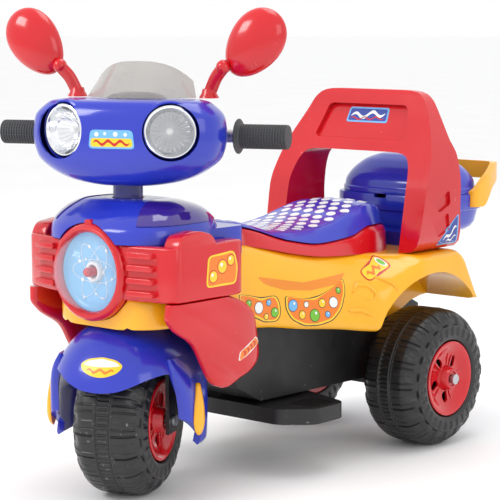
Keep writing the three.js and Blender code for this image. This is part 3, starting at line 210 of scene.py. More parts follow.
def through(x, y, at):
    """Smooth values at the places `at`, through the table x to y."""
    x = np.asarray(x, float)
    y = np.asarray(y, float).reshape(len(x), -1)
    m = slopes(x, y)
    i = np.clip(np.searchsorted(x, at, side="right") - 1, 0, len(x) - 2)
    h = (x[i + 1] - x[i])[:, None]
    t = ((np.asarray(at) - x[i])[:, None]) / h
    a = (1 + 2 * t) * (1 - t) ** 2
    b = t * (1 - t) ** 2
    c = t * t * (3 - 2 * t)
    d = t * t * (t - 1)
    return a * y[i] + b * h * m[i] + c * y[i + 1] + d * h * m[i + 1]


def value(table, at):
    """One smooth reading of a table of (place, value) pairs."""
    places, values = zip(*table)
    return float(through(places, values, [min(max(at, places[0]), places[-1])])[0, 0])


def refine(rings, count):
    """More rings, smoothly between the given ones."""
    rings = np.asarray(rings, float)
    gaps = np.linalg.norm(np.diff(rings, axis=0), axis=2).mean(axis=1)
    x = np.concatenate([[0], np.cumsum(np.maximum(gaps, 1e-3))])
    even = np.linspace(0, x[-1], count)
    flat = through(x, rings.reshape(len(rings), -1), even)
    return flat.reshape(count, *rings.shape[1:])


def loft(rings, closed_ends=(True, True), around=True):
    """Points and faces of a skin through rings of points."""
    rings = np.asarray(rings, float)
    rows, count = rings.shape[:2]
    points = [tuple(p) for ring in rings for p in ring]
    faces = []
    for r in range(rows - 1):
        for i in range(count if around else count - 1):
            a, b = r * count + i, r * count + (i + 1) % count
            faces.append((a, b, b + count, a + count))
    for end, start in ((0, 0), (1, (rows - 1) * count)):
        if closed_ends[end]:
            middle = rings[-end].mean(axis=0)
            centre = len(points)
            points.append(tuple(middle))
            for i in range(count):
                faces.append((start + i, start + (i + 1) % count, centre))
    return points, faces


def level_ring(z, half, front, rear, x=0, y=0, square=2.4, count=72):
    """A level ring with rounded-square outline: half width, reach to the front and to the rear."""
    angles = (np.arange(count) + 0.5) * 2 * math.pi / count
    c, s = np.cos(angles), np.sin(angles)
    c = np.sign(c) * np.abs(c) ** (2 / square)
    s = np.sign(s) * np.abs(s) ** (2 / square)
    return np.stack([x + half * c, y + np.where(s < 0, front, rear) * s, np.full(count, z)], axis=1)


def rounded(corners, radius, per=6, between=4):
    """A closed outline with its corners rounded and points along its straights."""
    corners = np.asarray(corners, float)
    out = []
    stretches = []
    for i, here in enumerate(corners):
        a = corners[i - 1] - here
        b = corners[(i + 1) % len(corners)] - here
        start = here + a * min(0.45, radius / max(np.linalg.norm(a), 1e-6))
        end = here + b * min(0.45, radius / max(np.linalg.norm(b), 1e-6))
        stretches.append((start, here, end))
    for i, (start, here, end) in enumerate(stretches):
        for t in np.linspace(0, 1, per):
            out.append((1 - t) ** 2 * start + 2 * t * (1 - t) * here + t * t * end)
        following = stretches[(i + 1) % len(stretches)][0]
        for t in np.linspace(0, 1, between + 2)[1:-1]:
            out.append(end + (following - end) * t)
    return np.asarray(out)


def upright_ring(y, corners, radius, per=6, between=4):
    ring = rounded(corners, radius, per, between)
    return np.stack([ring[:, 0], np.full(len(ring), y), ring[:, 1]], axis=1)


def spun_faces(steps, count):
    """The faces between `steps` copies of a line of `count` points set round an axis."""
    faces = []
    for k in range(steps):
        here, following = k * count, (k + 1) % steps * count
        for i in range(count - 1):
            faces.append((here + i, following + i, following + i + 1, here + i + 1))
    return faces


def turned(profile, axis="z", steps=64):
    """A body of revolution from (radius, distance along the axis) points."""
    profile = np.asarray(profile, float)
    reach, along = profile.T
    order = {"x": (2, 0, 1), "y": (0, 2, 1), "z": (0, 1, 2)}[axis]
    points = []
    for angle in np.arange(steps) * 2 * math.pi / steps:
        p = np.stack([reach * math.cos(angle), reach * math.sin(angle), along], axis=1)
        points += [tuple(row) for row in p[:, order]]
    return points, spun_faces(steps, len(profile))


def hoop(profile, axis, steps):
    """A body of revolution whose outline closes on itself, so that it has a bore."""
    return turned([*profile, profile[0]], axis, steps)


def sweep(path, section, turn=(0, 0, 1)):
    """Rings of a section (across, up) carried along a path; `turn` is the rough direction of up."""
    path = np.asarray(path, float)
    tangents = np.gradient(path, axis=0)
    rings = []
    up = Vector(turn)
    for k, p in enumerate(path):
        t = Vector(tangents[k]).normalized()
        side = t.cross(up).normalized()
        over = side.cross(t)
        shape = section(k / (len(path) - 1)) if callable(section) else section
        rings.append([tuple(Vector(p) + side * u + over * v) for u, v in shape])
    return rings


def smooth_path(points, count):
    points = np.asarray(points, float)
    gaps = np.linalg.norm(np.diff(points, axis=0), axis=1)
    x = np.concatenate([[0], np.cumsum(gaps)])
    return through(x, points, np.linspace(0, x[-1], count))


def oval(a, b, count=24):
    angles = np.arange(count) * 2 * math.pi / count
    return [(a * math.cos(t), b * math.sin(t)) for t in angles]


def prism(outline, axis, start, end):
    """An outline (y, z), (x, z) or (x, y) pushed along x, y or z."""
    def put(p, t):
        return {"x": (t, p[0], p[1]), "y": (p[0], t, p[1]), "z": (p[0], p[1], t)}[axis]
    n = len(outline)
    points = [put(p, start) for p in outline] + [put(p, end) for p in outline]
    faces = [(i, (i + 1) % n, n + (i + 1) % n, n + i) for i in range(n)]
    faces += [tuple(range(n)), tuple(range(2 * n - 1, n - 1, -1))]
    return points, faces


def block(x0, x1, y0, y1, z0, z1):
    return prism([(x0, y0), (x1, y0), (x1, y1), (x0, y1)], "z", z0, z1)


def moved(shape, matrix):
    points, faces = shape
    return [tuple(matrix @ Vector(p)) for p in points], faces


def joined(*shapes):
    points, faces = [], []
    for shape_points, shape_faces in shapes:
        first = len(points)
        points += shape_points
        faces += [tuple(first + i for i in face) for face in shape_faces]
    return points, faces


def flipped(shape):
    """The mirror image across the middle plane."""
    points, faces = shape
    return [(-x, y, z) for x, y, z in points], [tuple(reversed(face)) for face in faces]


def on_side(shape, side):
    """A shape drawn for the rider's left, or its mirror image for the right."""
    return shape if side > 0 else flipped(shape)


def both_sides(half):
    """A closed outline from its half on the rider's left."""
    return half + [(-x, other) for x, other in reversed(half)]


def rod(radius, start, end, axis, place=(0, 0, 0)):
    shape = turned([(0.0, start), (radius, start), (radius, end), (0.0, end)], axis)
    return moved(shape, Matrix.Translation(place))


# ---- Materials ----
def node(material, kind, inputs=None, **settings):
    """A shader node; an input given as a socket is linked, and as a value is set."""
    made = material.node_tree.nodes.new("ShaderNode" + kind)
    for name, setting in settings.items():
        setattr(made, name, setting)
    for key, given in (inputs or {}).items():
        if isinstance(given, bpy.types.NodeSocket):
            material.node_tree.links.new(given, made.inputs[key])
        else:
            made.inputs[key].default_value = given
    return made


def blank(name):
    material = bpy.data.materials.new(name)
    material.use_nodes = True
    return material, material.node_tree.nodes["Principled BSDF"]


def link(material, socket, target):
    material.node_tree.links.new(socket, target)


def math_node(material, operation, a, b, c=0.0, clamp=False):
    return node(material, "Math", {0: a, 1: b, 2: c}, operation=operation, use_clamp=clamp).outputs[0]


def mix(material, factor, a, b):
    return node(material, "Mix", {0: factor, 6: a, 7: b}, data_type="RGBA", blend_type="MIX").outputs[2]


def noise(material, scale, detail=3.0):
    vector = node(material, "TexCoord").outputs["Object"]
    inputs = {"Scale": scale, "Detail": detail, "Roughness": 0.5, "Vector": vector}
    return node(material, "TexNoise", inputs).outputs["Fac"]


def ranged(material, fac, low, high, from_low=0.3, from_high=0.7):
    inputs = {"Value": fac, "From Min": from_low, "From Max": from_high, "To Min": low, "To Max": high}
    return node(material, "MapRange", inputs).outputs["Result"]


def rgba(colour, lift=1.0):
    return tuple(min(1.0, c * lift) for c in colour[:3]) + (1.0,)


def surface_detail(material, shader, colour, roughness, grain=900.0, grain_depth=0.00006, wear=0.25):
    """Colour drift, smudged gloss, a fine moulded skin and pale scuffs."""
    drift = noise(material, 7.0, 4.0)
    toned = mix(material, ranged(material, drift, 0.0, 1.0), rgba(colour, 0.93), rgba(colour, 1.05))
    scuffs = ranged(material, noise(material, 140.0, 6.0), 0.0, wear, 0.66, 0.74)
    where = ranged(material, noise(material, 9.0, 2.0), 0.0, 1.0, 0.5, 0.62)
    rubbed = math_node(material, "MULTIPLY", scuffs, where, clamp=True)
    pale = tuple(c + (1 - c) * 0.35 for c in colour[:3]) + (1.0,)
    link(material, mix(material, rubbed, toned, pale), shader.inputs["Base Color"])
    smudge = noise(material, 18.0, 6.0)
    link(material, ranged(material, smudge, roughness * 0.8, roughness * 1.3 + 0.02),
         shader.inputs["Roughness"])
    skin = noise(material, grain, 2.0)
    waves = noise(material, 22.0, 2.0)
    height = math_node(material, "MULTIPLY_ADD", waves, 3.0, skin)
    bump = node(material, "Bump", {"Height": height, "Strength": 0.5, "Distance": grain_depth})
    link(material, bump.outputs["Normal"], shader.inputs["Normal"])


def plastic(name, colour, roughness=0.2, coat=0.35, grain_depth=0.00005, grain=900.0, wear=0.25):
    material, shader = blank(name)
    surface_detail(material, shader, colour, roughness, grain, grain_depth, wear)
    shader.inputs["Coat Weight"].default_value = coat
    shader.inputs["Coat Roughness"].default_value = 0.06
    shader.inputs["IOR"].default_value = 1.5
    return material


def metal(name, colour, roughness):
    material, shader = blank(name)
    surface_detail(material, shader, colour, roughness, 400.0, 0.00004, 0.1)
    shader.inputs["Metallic"].default_value = 1.0
    return material


def clear(name, tint, roughness=0.03, alpha=0.25):
    """Thin clear plastic: a glossy film that mostly lets what is behind it show."""
    material, shader = blank(name)
    haze = noise(material, 30.0, 4.0)
    link(material, mix(material, ranged(material, haze, 0.0, 1.0), rgba(tint, 0.94), rgba(tint)),
         shader.inputs["Base Color"])
    link(material, ranged(material, haze, roughness, roughness * 2.5), shader.inputs["Roughness"])
    link(material, ranged(material, noise(material, 12.0), alpha * 0.9, alpha * 1.1), shader.inputs["Alpha"])
    bump = node(material, "Bump", {"Height": noise(material, 25.0), "Strength": 0.3, "Distance": 0.0001})
    link(material, bump.outputs["Normal"], shader.inputs["Normal"])
    shader.inputs["Specular IOR Level"].default_value = 0.8
    shader.inputs["Coat Weight"].default_value = 0.6
    return material


BLUE = (0.018, 0.034, 0.46)
NAVY = (0.012, 0.012, 0.16)
RED = (0.60, 0.004, 0.010)
YELLOW = (0.93, 0.44, 0.006)
BLACK = (0.010, 0.010, 0.011)
WHITE = (0.86, 0.86, 0.85)
SKY = (0.22, 0.52, 0.82)

blue = plastic("blue_plastic", BLUE, 0.16)
navy = plastic("navy_plastic", NAVY, 0.2)
red = plastic("red_plastic", RED, 0.16)
yellow = plastic("yellow_plastic", YELLOW, 0.2)
black = plastic("black_plastic", BLACK, 0.42, 0.0, 0.0002, 500.0, 0.5)
tyre_black = plastic("tyre_plastic", (0.012, 0.012, 0.013), 0.34, 0.1, 0.00012, 600.0, 0.6)
grip_grey = plastic("grip_rubber", (0.05, 0.052, 0.056), 0.5, 0.0, 0.0002, 700.0, 0.4)
nylon = plastic("natural_nylon", (0.74, 0.72, 0.62), 0.4, 0.0)
white = plastic("white_print", WHITE, 0.3, 0.1)
steel = metal("zinc_steel", (0.55, 0.56, 0.58), 0.3)
black_steel = plastic("black_steel", (0.014, 0.014, 0.015), 0.35, 0.2)
chrome = metal("chrome_trim", (0.88, 0.89, 0.91), 0.07)
mirror = metal("mirror_film", (0.85, 0.87, 0.9), 0.04)
lens_clear = clear("clear_lens", (0.93, 0.96, 0.98), 0.02, 0.10)
dome_clear = clear("clear_dome", (0.80, 0.90, 1.0), 0.02, 0.08)
screen_amber = clear("amber_screen", (0.40, 0.37, 0.33), 0.03, 0.52)


def tinted(name, colour):
    """Deep see-into coloured plastic."""
    material, shader = blank(name)
    surface_detail(material, shader, colour, 0.06, 900.0, 0.00002, 0.1)
    shader.inputs["Coat Weight"].default_value = 1.0
    shader.inputs["Coat Roughness"].default_value = 0.02
    shader.inputs["Transmission Weight"].default_value = 0.25
    return material


purple = tinted("purple_window", (0.045, 0.012, 0.30))
dial_blue = plastic("dial_print", SKY, 0.3, 0.2)


# ---- CAD pieces that keep their own shape ----
KEPT = {"black_plastic": (black, 1.2, ("chassis_tray", "motor_gearbox", "battery")),
        "zinc_steel": (steel, 0.6,
                       ("rear_axle", "front_axle", "trunk_hinge_pin", "steering_stem", "handlebar_tube")),
        "black_steel": (black_steel, 0.8, ("fork_frame",)),
        "natural_nylon": (nylon, 0.4, ("drive_sleeve", "steering_bush")),
        "red_plastic": (red, 0.8, ("accelerator_pedal", "drive_switch", "horn_button")),
        "navy_plastic": (navy, 0.6, ("column_cover", "dash_hood")), }


def dress(node_name, material, round_off=0.0):
    piece = frame["nodes"][node_name]
    piece.data.materials.clear()
    piece.data.materials.append(material)
    if round_off:
        bevel(piece, round_off, 2)
    return piece


for slot_name, (look, edge, names) in KEPT.items():
    for name in names:
        dress(name, look, edge)


# ---- Wheels ----
TYRE_LOW, TYRE_HIGH = size_mm("rear_tyre_left")
WHEEL_RADIUS = (TYRE_HIGH.z - TYRE_LOW.z) / 2
SHOULDER_RADIUS = 31.0
WHEEL_HALF = (TYRE_HIGH.x - TYRE_LOW.x) / 2
TRACK_HALF = (TYRE_HIGH.x + TYRE_LOW.x) / 2
RIM_RADIUS = (size_mm("rear_rim_outer_left")[1].z - size_mm("rear_rim_outer_left")[0].z) / 2
AXLE_RADIUS = (size_mm("rear_axle")[1].z - size_mm("rear_axle")[0].z) / 2
WHEELS = {
    "front": (FORK @ Matrix.Translation((0, 0, WHEEL_RADIUS)), "front_wheel"),
    "rear_left": (TRIKE @ Matrix.Translation((TRACK_HALF, 0, WHEEL_RADIUS)), "rear_wheel_left"),
    "rear_right": (TRIKE @ Matrix.Translation((-TRACK_HALF, 0, WHEEL_RADIUS)), "rear_wheel_right"),
}


def pulse(angle, period, width, soft=0.25):
    """1 inside a band of the given width about each multiple of the period, 0 outside, in degrees."""
    away = np.abs((angle + period / 2) % period - period / 2)
    return np.clip((width / 2 - away) / (width * soft) + 0.5, 0, 1)


def tyre_depth(angle, t, r):
    """How far the tread and the sidewall are cut in at an angle (degrees) and lateral place t."""
    side = np.abs(t)
    depth = np.zeros_like(angle)
    in_band = (side < 7.5).astype(float)
    depth += 1.5 * in_band * (1 - pulse(angle, 3.75, 2.1))
    edge_line = np.clip(1 - np.abs(side - 9.5) / 1.2, 0, 1)
    depth += 1.1 * edge_line
    seam = np.clip(1 - np.abs(t - 12.5) / 0.9, 0, 1)
    across = np.clip((side - 11) / 3, 0, 1) * np.clip((47 - side) / 3, 0, 1)
    pair = np.maximum(pulse(angle + 2.6, 18, 1.3), pulse(angle - 2.6, 18, 1.3))
    depth += 1.7 * across * np.maximum(pair, 0.45 * pulse(angle + 9, 18, 1.0)) * (r > 84)
    shoulder = np.clip((side - 36) / 8, 0, 1) * (r > 82)
    depth += 2.6 * shoulder * pulse(angle + 9, 18, 7.5, 0.4)
    wall_ring = np.clip(1 - np.abs(r - 83) / 1.3, 0, 1) * (side > 40)
    depth += 1.2 * wall_ring
    lug_zone = np.clip((r - 66) / 2, 0, 1) * np.clip((80 - r) / 2, 0, 1) * (side > 40)
    depth += 1.8 * lug_zone * (1 - pulse(angle, 12, 6.5))
    return depth - 0.7 * seam


def tyre_shape():
    """The treaded outside of a tyre, closed by a plain wall inside it."""
    half = WHEEL_HALF
    bend = WHEEL_RADIUS - SHOULDER_RADIUS
    outer = [(RIM_RADIUS + 1.2, -half + 6), (RIM_RADIUS + 3, -half + 2.5), (RIM_RADIUS + 8, -half + 0.6),
             (bend - 4, -half)]
    for turn in (20, 40, 60, 75):
        angle = math.radians(turn)
        outer.append((bend + SHOULDER_RADIUS * math.sin(angle),
                      -half + 1 + SHOULDER_RADIUS * (1 - math.cos(angle))))
    outer += [(WHEEL_RADIUS - 0.1, -14), (WHEEL_RADIUS, 0)]
    outer += [(r, -t) for r, t in reversed(outer[:-1])]
    profile = smooth_path(outer, 120)
    tangent = np.gradient(profile, axis=0)
    length = np.linalg.norm(tangent, axis=1)
    normal = np.stack([-tangent[:, 1], tangent[:, 0]], axis=1) / length[:, None]
    steps, n = 720, len(profile)
    points = []
    for angle in np.arange(steps) * 360 / steps:
        depth = tyre_depth(np.full(n, angle), profile[:, 1], profile[:, 0])
        r, t = (profile + normal * depth[:, None]).T
        a = math.radians(angle)
        points += [tuple(p) for p in np.stack([t, r * math.cos(a), r * math.sin(a)], axis=1)]
    faces = spun_faces(steps, n)
    for end in (0, n - 1):
        for k in range(steps):
            t, y, z = points[k * n + end]
            points.append((t * 0.86, y, z))
    for k in range(steps):
        following = (k + 1) % steps
        a, b = steps * n + k, steps * n + following
        faces.append((k * n, a, b, following * n))
        faces.append((k * n + n - 1, following * n + n - 1, b + steps, a + steps))
        faces.append((a, a + steps, b + steps, b))
    return points, faces


def rim_shape():
    """The outer rim disc on the +x side of a wheel: dished, with a raised hub; rim_piece cuts its teardrop
    holes.
    """
    face = WHEEL_HALF - 3
    bore = AXLE_RADIUS * 0.4 + 2.6
    profile = [(bore, face - 12), (37, face - 12), (46, face - 4.5), (RIM_RADIUS - 0.6, face - 4),
               (RIM_RADIUS, face - 2.6), (RIM_RADIUS, face + 0.5), (RIM_RADIUS - 1.5, face + 1.4),
               (RIM_RADIUS - 5, face + 1.0), (RIM_RADIUS - 9, face - 1.5), (44, face - 3.5), (38, face - 8),
               (30, face - 9.2), (19.5, face - 8.4), (17.5, face - 5), (16.2, face + 1.5),
               (14.5, face + 4.4), (11.5, face + 5.0), (10.8, face + 3.0), (bore + 0.5, face + 2.6),
               (bore, face + 1.8), (bore, face - 12), ]
    return turned(profile, "x", 96)


def rim_piece(name, place, side):
    if side < 0:
        place = place @ Matrix.Rotation(math.pi, 4, "Z")
    disc = new_object(name, *rim_shape(), place, 30)
    teardrop = [(7.2 * math.cos(t) * (1 - 0.35 * math.sin(t)), 29.5 + 9.2 * math.sin(t))
                for t in np.arange(24) * 2 * math.pi / 24]
    hole = prism(teardrop, "x", WHEEL_HALF - 30, WHEEL_HALF + 10)
    holes = [moved(hole, Matrix.Rotation(math.radians(36 + 72 * k), 4, "X")) for k in range(5)]
    cut(disc, *holes, place=place)
    rib = prism(rounded([(20, -1.6), (40, -1.1), (40, 1.1), (20, 1.6)], 1.5, 4, 1), "x", WHEEL_HALF - 14,
                WHEEL_HALF - 10.4)
    ribs = []
    for k in range(10):
        turn = math.radians(36 * k + (10 if k % 2 else -10) + 18)
        ribs.append(moved(rib, Matrix.Rotation(turn, 4, "X")))
    unite(disc, joined(*ribs), place=place)
    return bevel(disc, 0.6, 2, 40)


def add_wheels():
    for name, (place, body) in WHEELS.items():
        if name == "front":
            tyre = "front_tyre"
            discs = {"front_rim_left": 1, "front_rim_right": -1}
        else:
            label = name.removeprefix("rear_")
            outward = dict(SIDES)[label]
            tyre = f"rear_tyre_{label}"
            discs = {f"rear_rim_outer_{label}": outward, f"rear_rim_inner_{label}": -outward}
        add_piece(f"tread_{name}", tyre_shape(), body, tyre_black, tyre, place, 40)
        for cad_name, side in discs.items():
            disc = rim_piece(cad_name + "_dish", place, side)
            finish_piece(disc, body, red, cad_name)


add_wheels()


# ---- Body shell ----
DECK = 297.0
NOSE_TOP = 282.0
CHIN = 240.0
WELL_INNER = 72.0
ARCH_RADIUS = 132.0
ARCH_Y, ARCH_Z = -19.0, 137.0
TAIL_Y = 92.0
LAMP_Y, LAMP_Z, LAMP_RADIUS = STEER_Y - 73, 315.0, 62.0
LAMP_ROOM = 4.8
LAMP_PLACE = TRIKE @ Matrix.Translation((0, LAMP_Y, LAMP_Z))

# y, top z, top half width, shoulder z, shoulder half width, bottom z, bottom half width
BODY_ROWS = [(-428, 330.7, 86, 301, 94, 226, 98), (-395.7, 330.7, 86, 301, 94, 223, 97),
             (-384, 338, 86, 307, 92, 220, 94), (-365, 337, 86, 300, 92, 217, 96),
             (-330, 331, 86, 292, 94, 214, 99), (-270, 318, 86, 277, 102, 206, 110),
             (-200, 307, 87, 267, 114, 199, 127), (-137.4, 303, 89, 250, 135, 191, 152),
             (-104, 301, 94, 263, 150, 189, 162), (-66, 298, 120, 280, 160, 189, 165),
             (-42, 297, 150, 287, 164, 189, 165), (20, 297, 151, 287, 164, 200, 165),
             (48, 297, 151, 287, 164, 211, 165), (60, 290, 151.5, 280, 164, 213, 165),
             (69, 275, 152, 265, 164, 215, 165), (82, 247, 155, 241, 164, 216, 165),
             (92, 223, 159, 221, 164, 217, 165), ]
BODY_TOPS = [(row[0], row[1]) for row in BODY_ROWS[1:12]]
NOSE_ROWS = [(-578, 48), (-576, 55), (-572, 68), (-560, 83), (-542, 93), (-524, 97), (-470, 97), (-424, 97)]


def body_ring(row, inset=0.0, drop=0.0, radius=16):
    y, zt, wt, zs, ws, zb, wb = row
    right = [(wb - inset, zb - drop), (ws - inset, zs - inset * 0.4), (wt - inset * 0.7, zt - inset)]
    return upright_ring(y, both_sides(right), radius, 7, 5)


def body_loft(rows, inset=0.0, drop=0.0, radius=16, count=110):
    rings = np.asarray([body_ring(row, inset, drop, radius) for row in rows])
    return loft(refine(rings, count))


def arch_prism(grow, start, end):
    reach = ARCH_RADIUS + grow
    outline = [(ARCH_Y - reach, 20), (ARCH_Y + reach, 20)]
    for angle in np.linspace(0, math.pi, 49):
        outline.append((ARCH_Y + reach * math.cos(angle), ARCH_Z + reach * math.sin(angle)))
    return prism(outline, "x", start, end)


def nose_rows():
    return [(y, NOSE_TOP, half - 4, NOSE_TOP - 8, half, CHIN, half) for y, half in NOSE_ROWS]


def with_ends(rows, front, rear):
    """Rows with the first moved back and the last moved along."""
    out = [list(row) for row in rows]
    out[0][0] += front
    out[-1][0] += rear
    return out


def add_body():
    wall = 3
    shell = new_object("body_moulding", *body_loft(BODY_ROWS), TRIKE)
    unite(shell, body_loft(nose_rows(), 0, 0, 8, 60))
    cut(shell, body_loft(with_ends(BODY_ROWS, wall, -wall), wall, 60),
        body_loft(with_ends(nose_rows(), wall, 30), wall, 60, 8, 60))
    hull_half = WELL_INNER - wall
    for side in (1, -1):
        liner = tool(arch_prism(wall, hull_half, 190) if side > 0 else arch_prism(wall, -190, -hull_half))
        keep_inside(liner, body_loft(BODY_ROWS, 0.3, 0))
        boolean(shell, [liner], "UNION")
    wells = [arch_prism(0, WELL_INNER, 200), arch_prism(0, -200, -WELL_INNER)]
    under = block(-hull_half, hull_half, ARCH_Y - ARCH_RADIUS - 20, TAIL_Y - 16, 0, DECK - 60)
    tail_room = block(-hull_half, hull_half, TAIL_Y - 20, TAIL_Y - 4, 0, DECK - 84)
    neck = rod(20, NOSE_TOP - 30, NOSE_TOP + 10, "z", (0, STEER_Y, 0))
    lamp_room = rod(LAMP_RADIUS + LAMP_ROOM, -40, 40.3, "y", (0, LAMP_Y, LAMP_Z))
    switch_low, switch_high = size_mm("drive_switch")
    margin = Vector((14, 1.5, 1.5))
    a, b = switch_low - margin, switch_high + margin
    cut(shell, *wells, under, tail_room, neck, lamp_room, block(a.x, b.x, a.y, b.y, a.z, b.z))
    bevel(shell, 1.3, 3, 40)
    return finish_piece(shell, "root", yellow, "body_shell")


# ---- Seat ----
# each table gives a size at a distance back from the seat's front: tops over the deck, half widths
SEAT_FRONT, SEAT_LENGTH = -380.0, 400.0
BASE_TOPS = [(0, 69), (29, 62), (114, 37), (183, 27), (255, 31), (304, 43), (345, 42), (400, 30)]
PAD_TOPS = [(0, 66), (14, 71), (70, 55), (176, 49), (230, 56), (271, 67), (330, 76), (372, 69), (400, 46)]
SEAT_HALVES = [(0, 62), (20, 78), (60, 86), (200, 92), (300, 89), (350, 76), (380, 56), (400, 30)]
PAD_MARGIN = 7.0
CROWN_WIDTH = 20.0
GROOVE_IN, GROOVE_HALF, GROOVE_DEPTH = 21.0, 1.8, 1.3


def seat_base_shape():
    rings = []
    for station in np.linspace(0, SEAT_LENGTH, 90):
        y = SEAT_FRONT + station
        half = value(SEAT_HALVES, station)
        end = max(0.0, 1 - abs(2 * station / SEAT_LENGTH - 1) ** 24) ** 0.5
        top = DECK + value(BASE_TOPS, station) - 0.3
        foot = value(BODY_TOPS, y) - 2
        ring = []
        for u in np.linspace(-1, 1, 61):
            bulge = max(0.0, 1 - abs(u) ** 22) ** 0.5
            z = foot + (top - foot) * (0.25 + 0.75 * end) * bulge
            ring.append((half * u * (0.965 + 0.035 * end), y, z))
        rings.append(ring)
    return loft(rings)


def pad_height(station, u):
    """Height over the seat base at a share u of the half width: crowned, with a groove inside its edge."""
    half = value(SEAT_HALVES, station) - PAD_MARGIN
    bed = value(BASE_TOPS, station)
    top = max(value(PAD_TOPS, station), bed + 8)
    from_end = min(station, SEAT_LENGTH - station) - PAD_MARGIN
    inside = min((1 - abs(u)) * half, from_end)
    edge = min(1.0, max(0.0, inside / CROWN_WIDTH))
    rise = (1 - (1 - edge) ** 2.4) * 0.82 + 0.18 * min(1.0, inside / 60)
    groove = GROOVE_DEPTH * max(0.0, 1 - abs(inside - GROOVE_IN) / GROOVE_HALF)
    return bed + 0.3 + (top - bed) * rise - groove


def pad_shape():
    rings = []
    shares = 0.5 - 0.5 * np.cos(np.linspace(0, math.pi, 150))
    stations = PAD_MARGIN + (SEAT_LENGTH - 2 * PAD_MARGIN) * shares
    for station in stations:
        half = value(SEAT_HALVES, station) - PAD_MARGIN
        ring = []
        for t in np.linspace(-1, 1, 121):
            u = math.copysign(1 - (1 - abs(t)) ** 1.3, t)
            ring.append((half * u, SEAT_FRONT + station, DECK + pad_height(station, u)))
        low = DECK + value(BASE_TOPS, station) + 0.3
        ring.append((half, SEAT_FRONT + station, low))
        ring.append((-half, SEAT_FRONT + station, low))
        rings.append(ring)
    return loft(rings)


def add_seat():
    add_piece("seat_base_moulding", seat_base_shape(), "root", red, "seat_base", sharp=60)
    return add_piece("seat_pad_moulding", pad_shape(), "root", blue, "seat_pad", sharp=50)


# ---- Roll bar ----
# half outlines seen from the front (x, z), and the outline seen from the side (y, z)
BAR_OUTER = [(150, 297.3), (154, 397), (145, 450), (117, 508), (106, 528), (88, 540)]
BAR_INNER = [(115, 280), (115, 402), (106, 434), (92, 446)]
BAR_SIDE = [(-50, 290), (66, 290), (60, 371), (62, 400), (60, 448), (51, 463), (50, 535), (44, 543),
            (36, 543), (29, 534), (23, 508), (-30, 397)]


def panel_depth(z):
    """Where the sloping front face of the bar is at a height."""
    return -23 + (z - DECK - 100) * 53 / 111


def add_roll_bar():
    bar = new_object("roll_bar_moulding", *prism(rounded(both_sides(BAR_OUTER), 26, 4, 0), "y", -80, 100),
                     TRIKE)
    cut(bar, prism(rounded(both_sides(BAR_INNER), 24, 4, 0), "y", -90, 110))
    keep_inside(bar, prism(rounded(BAR_SIDE, 12, 3, 0), "x", -180, 180))
    panel = rounded([(-90, 464), (90, 464), (76, 517), (-76, 517)], 9, 6, 1)
    low, high = DECK + 150, DECK + 230
    recesses = []
    for far, reach, lap in ((-60, 60, 0), (120, 110, 4)):
        recess = tool(prism(panel, "y", -60, reach))
        side = [(far, low), (panel_depth(low) + lap, low), (panel_depth(high) + lap, high), (far, high)]
        keep_inside(recess, prism(side, "x", -120, 120))
        recesses.append(recess)
    boolean(bar, [tool(block(-200, 200, -200, 200, 200, DECK + 0.3)), *recesses])
    wings = []
    for side in (1, -1):
        for low, tall in ((318, 26), (356, 22)):
            outline = rounded([(4, low), (34, low + 12), (30, low + 12 + tall), (-6, low + tall - 6)], 6, 5,
                              1)
            wings.append(on_side(prism(outline, "x", 148.5, 170), side))
    cut(bar, *wings)
    bevel(bar, 5.5, 4, 34)
    return finish_piece(bar, "root", red, "roll_bar")


# ---- Trunk ----
TRUNK_Y = 138.0
TRUNK_RIM = 372.0
HINGE_Y, HINGE_Z = 225.0, 368.0


def tub_loft(rows):
    return loft([level_ring(z, a, b, b, 0, TRUNK_Y, 3.6, 96) for z, a, b in rows])


def hinge_rod(radius, half):
    return rod(radius, -half, half, "x", (0, HINGE_Y, HINGE_Z))


def add_trunk_tub():
    outer = [(312, 84, 54), (313, 90, 60), (318, 97, 67), (326, 102, 72), (345, 106, 76), (346.5, 109, 79),
             (348, 110, 80), (370, 110, 80), (TRUNK_RIM, 108.8, 78.8)]
    tub = new_object("trunk_tub_moulding", *tub_loft(outer), TRIKE, 30)
    foot = rounded([(-80, 28), (80, 28), (80, 82), (-80, 82)], 8, 5, 1)
    unite(tub, prism(foot, "z", DECK + 0.3, 318))
    hollow = tub_loft([(315, 86, 56), (324, 97, 66), (377, 102, 72)])
    tail = [(40, 200), (94, 200), (94, 277), (69, 277), (52, DECK + 0.3), (40, DECK + 0.3)]
    notch = rounded([(-12, 366), (12, 366), (12, 380), (-12, 380)], 3, 4, 1)
    cut(tub, hollow, prism(tail, "x", -90, 90), prism(notch, "y", 50, 72))
    unite(tub, *[block(x - 9, x + 9, 212, 232, 361, 371.5) for x in (40, -40)])
    cut(tub, hinge_rod(2.3, 60))
    bevel(tub, 1.2, 3, 35)
    return finish_piece(tub, "root", blue, "trunk_tub")


# rise over the rim of the tub, half width, half depth
LID_ROWS = [(0, 107, 77), (2, 107.6, 77.6), (8, 107.4, 77.4), (9.5, 105.6, 75.6), (11, 105.4, 75.4),
            (18, 104, 74.2), (28, 98.5, 69.5), (36, 92, 63), (45, 81, 54.5), (52, 70, 46), (57, 57, 36),
            (60.5, 44, 27), (62, 26, 15)]


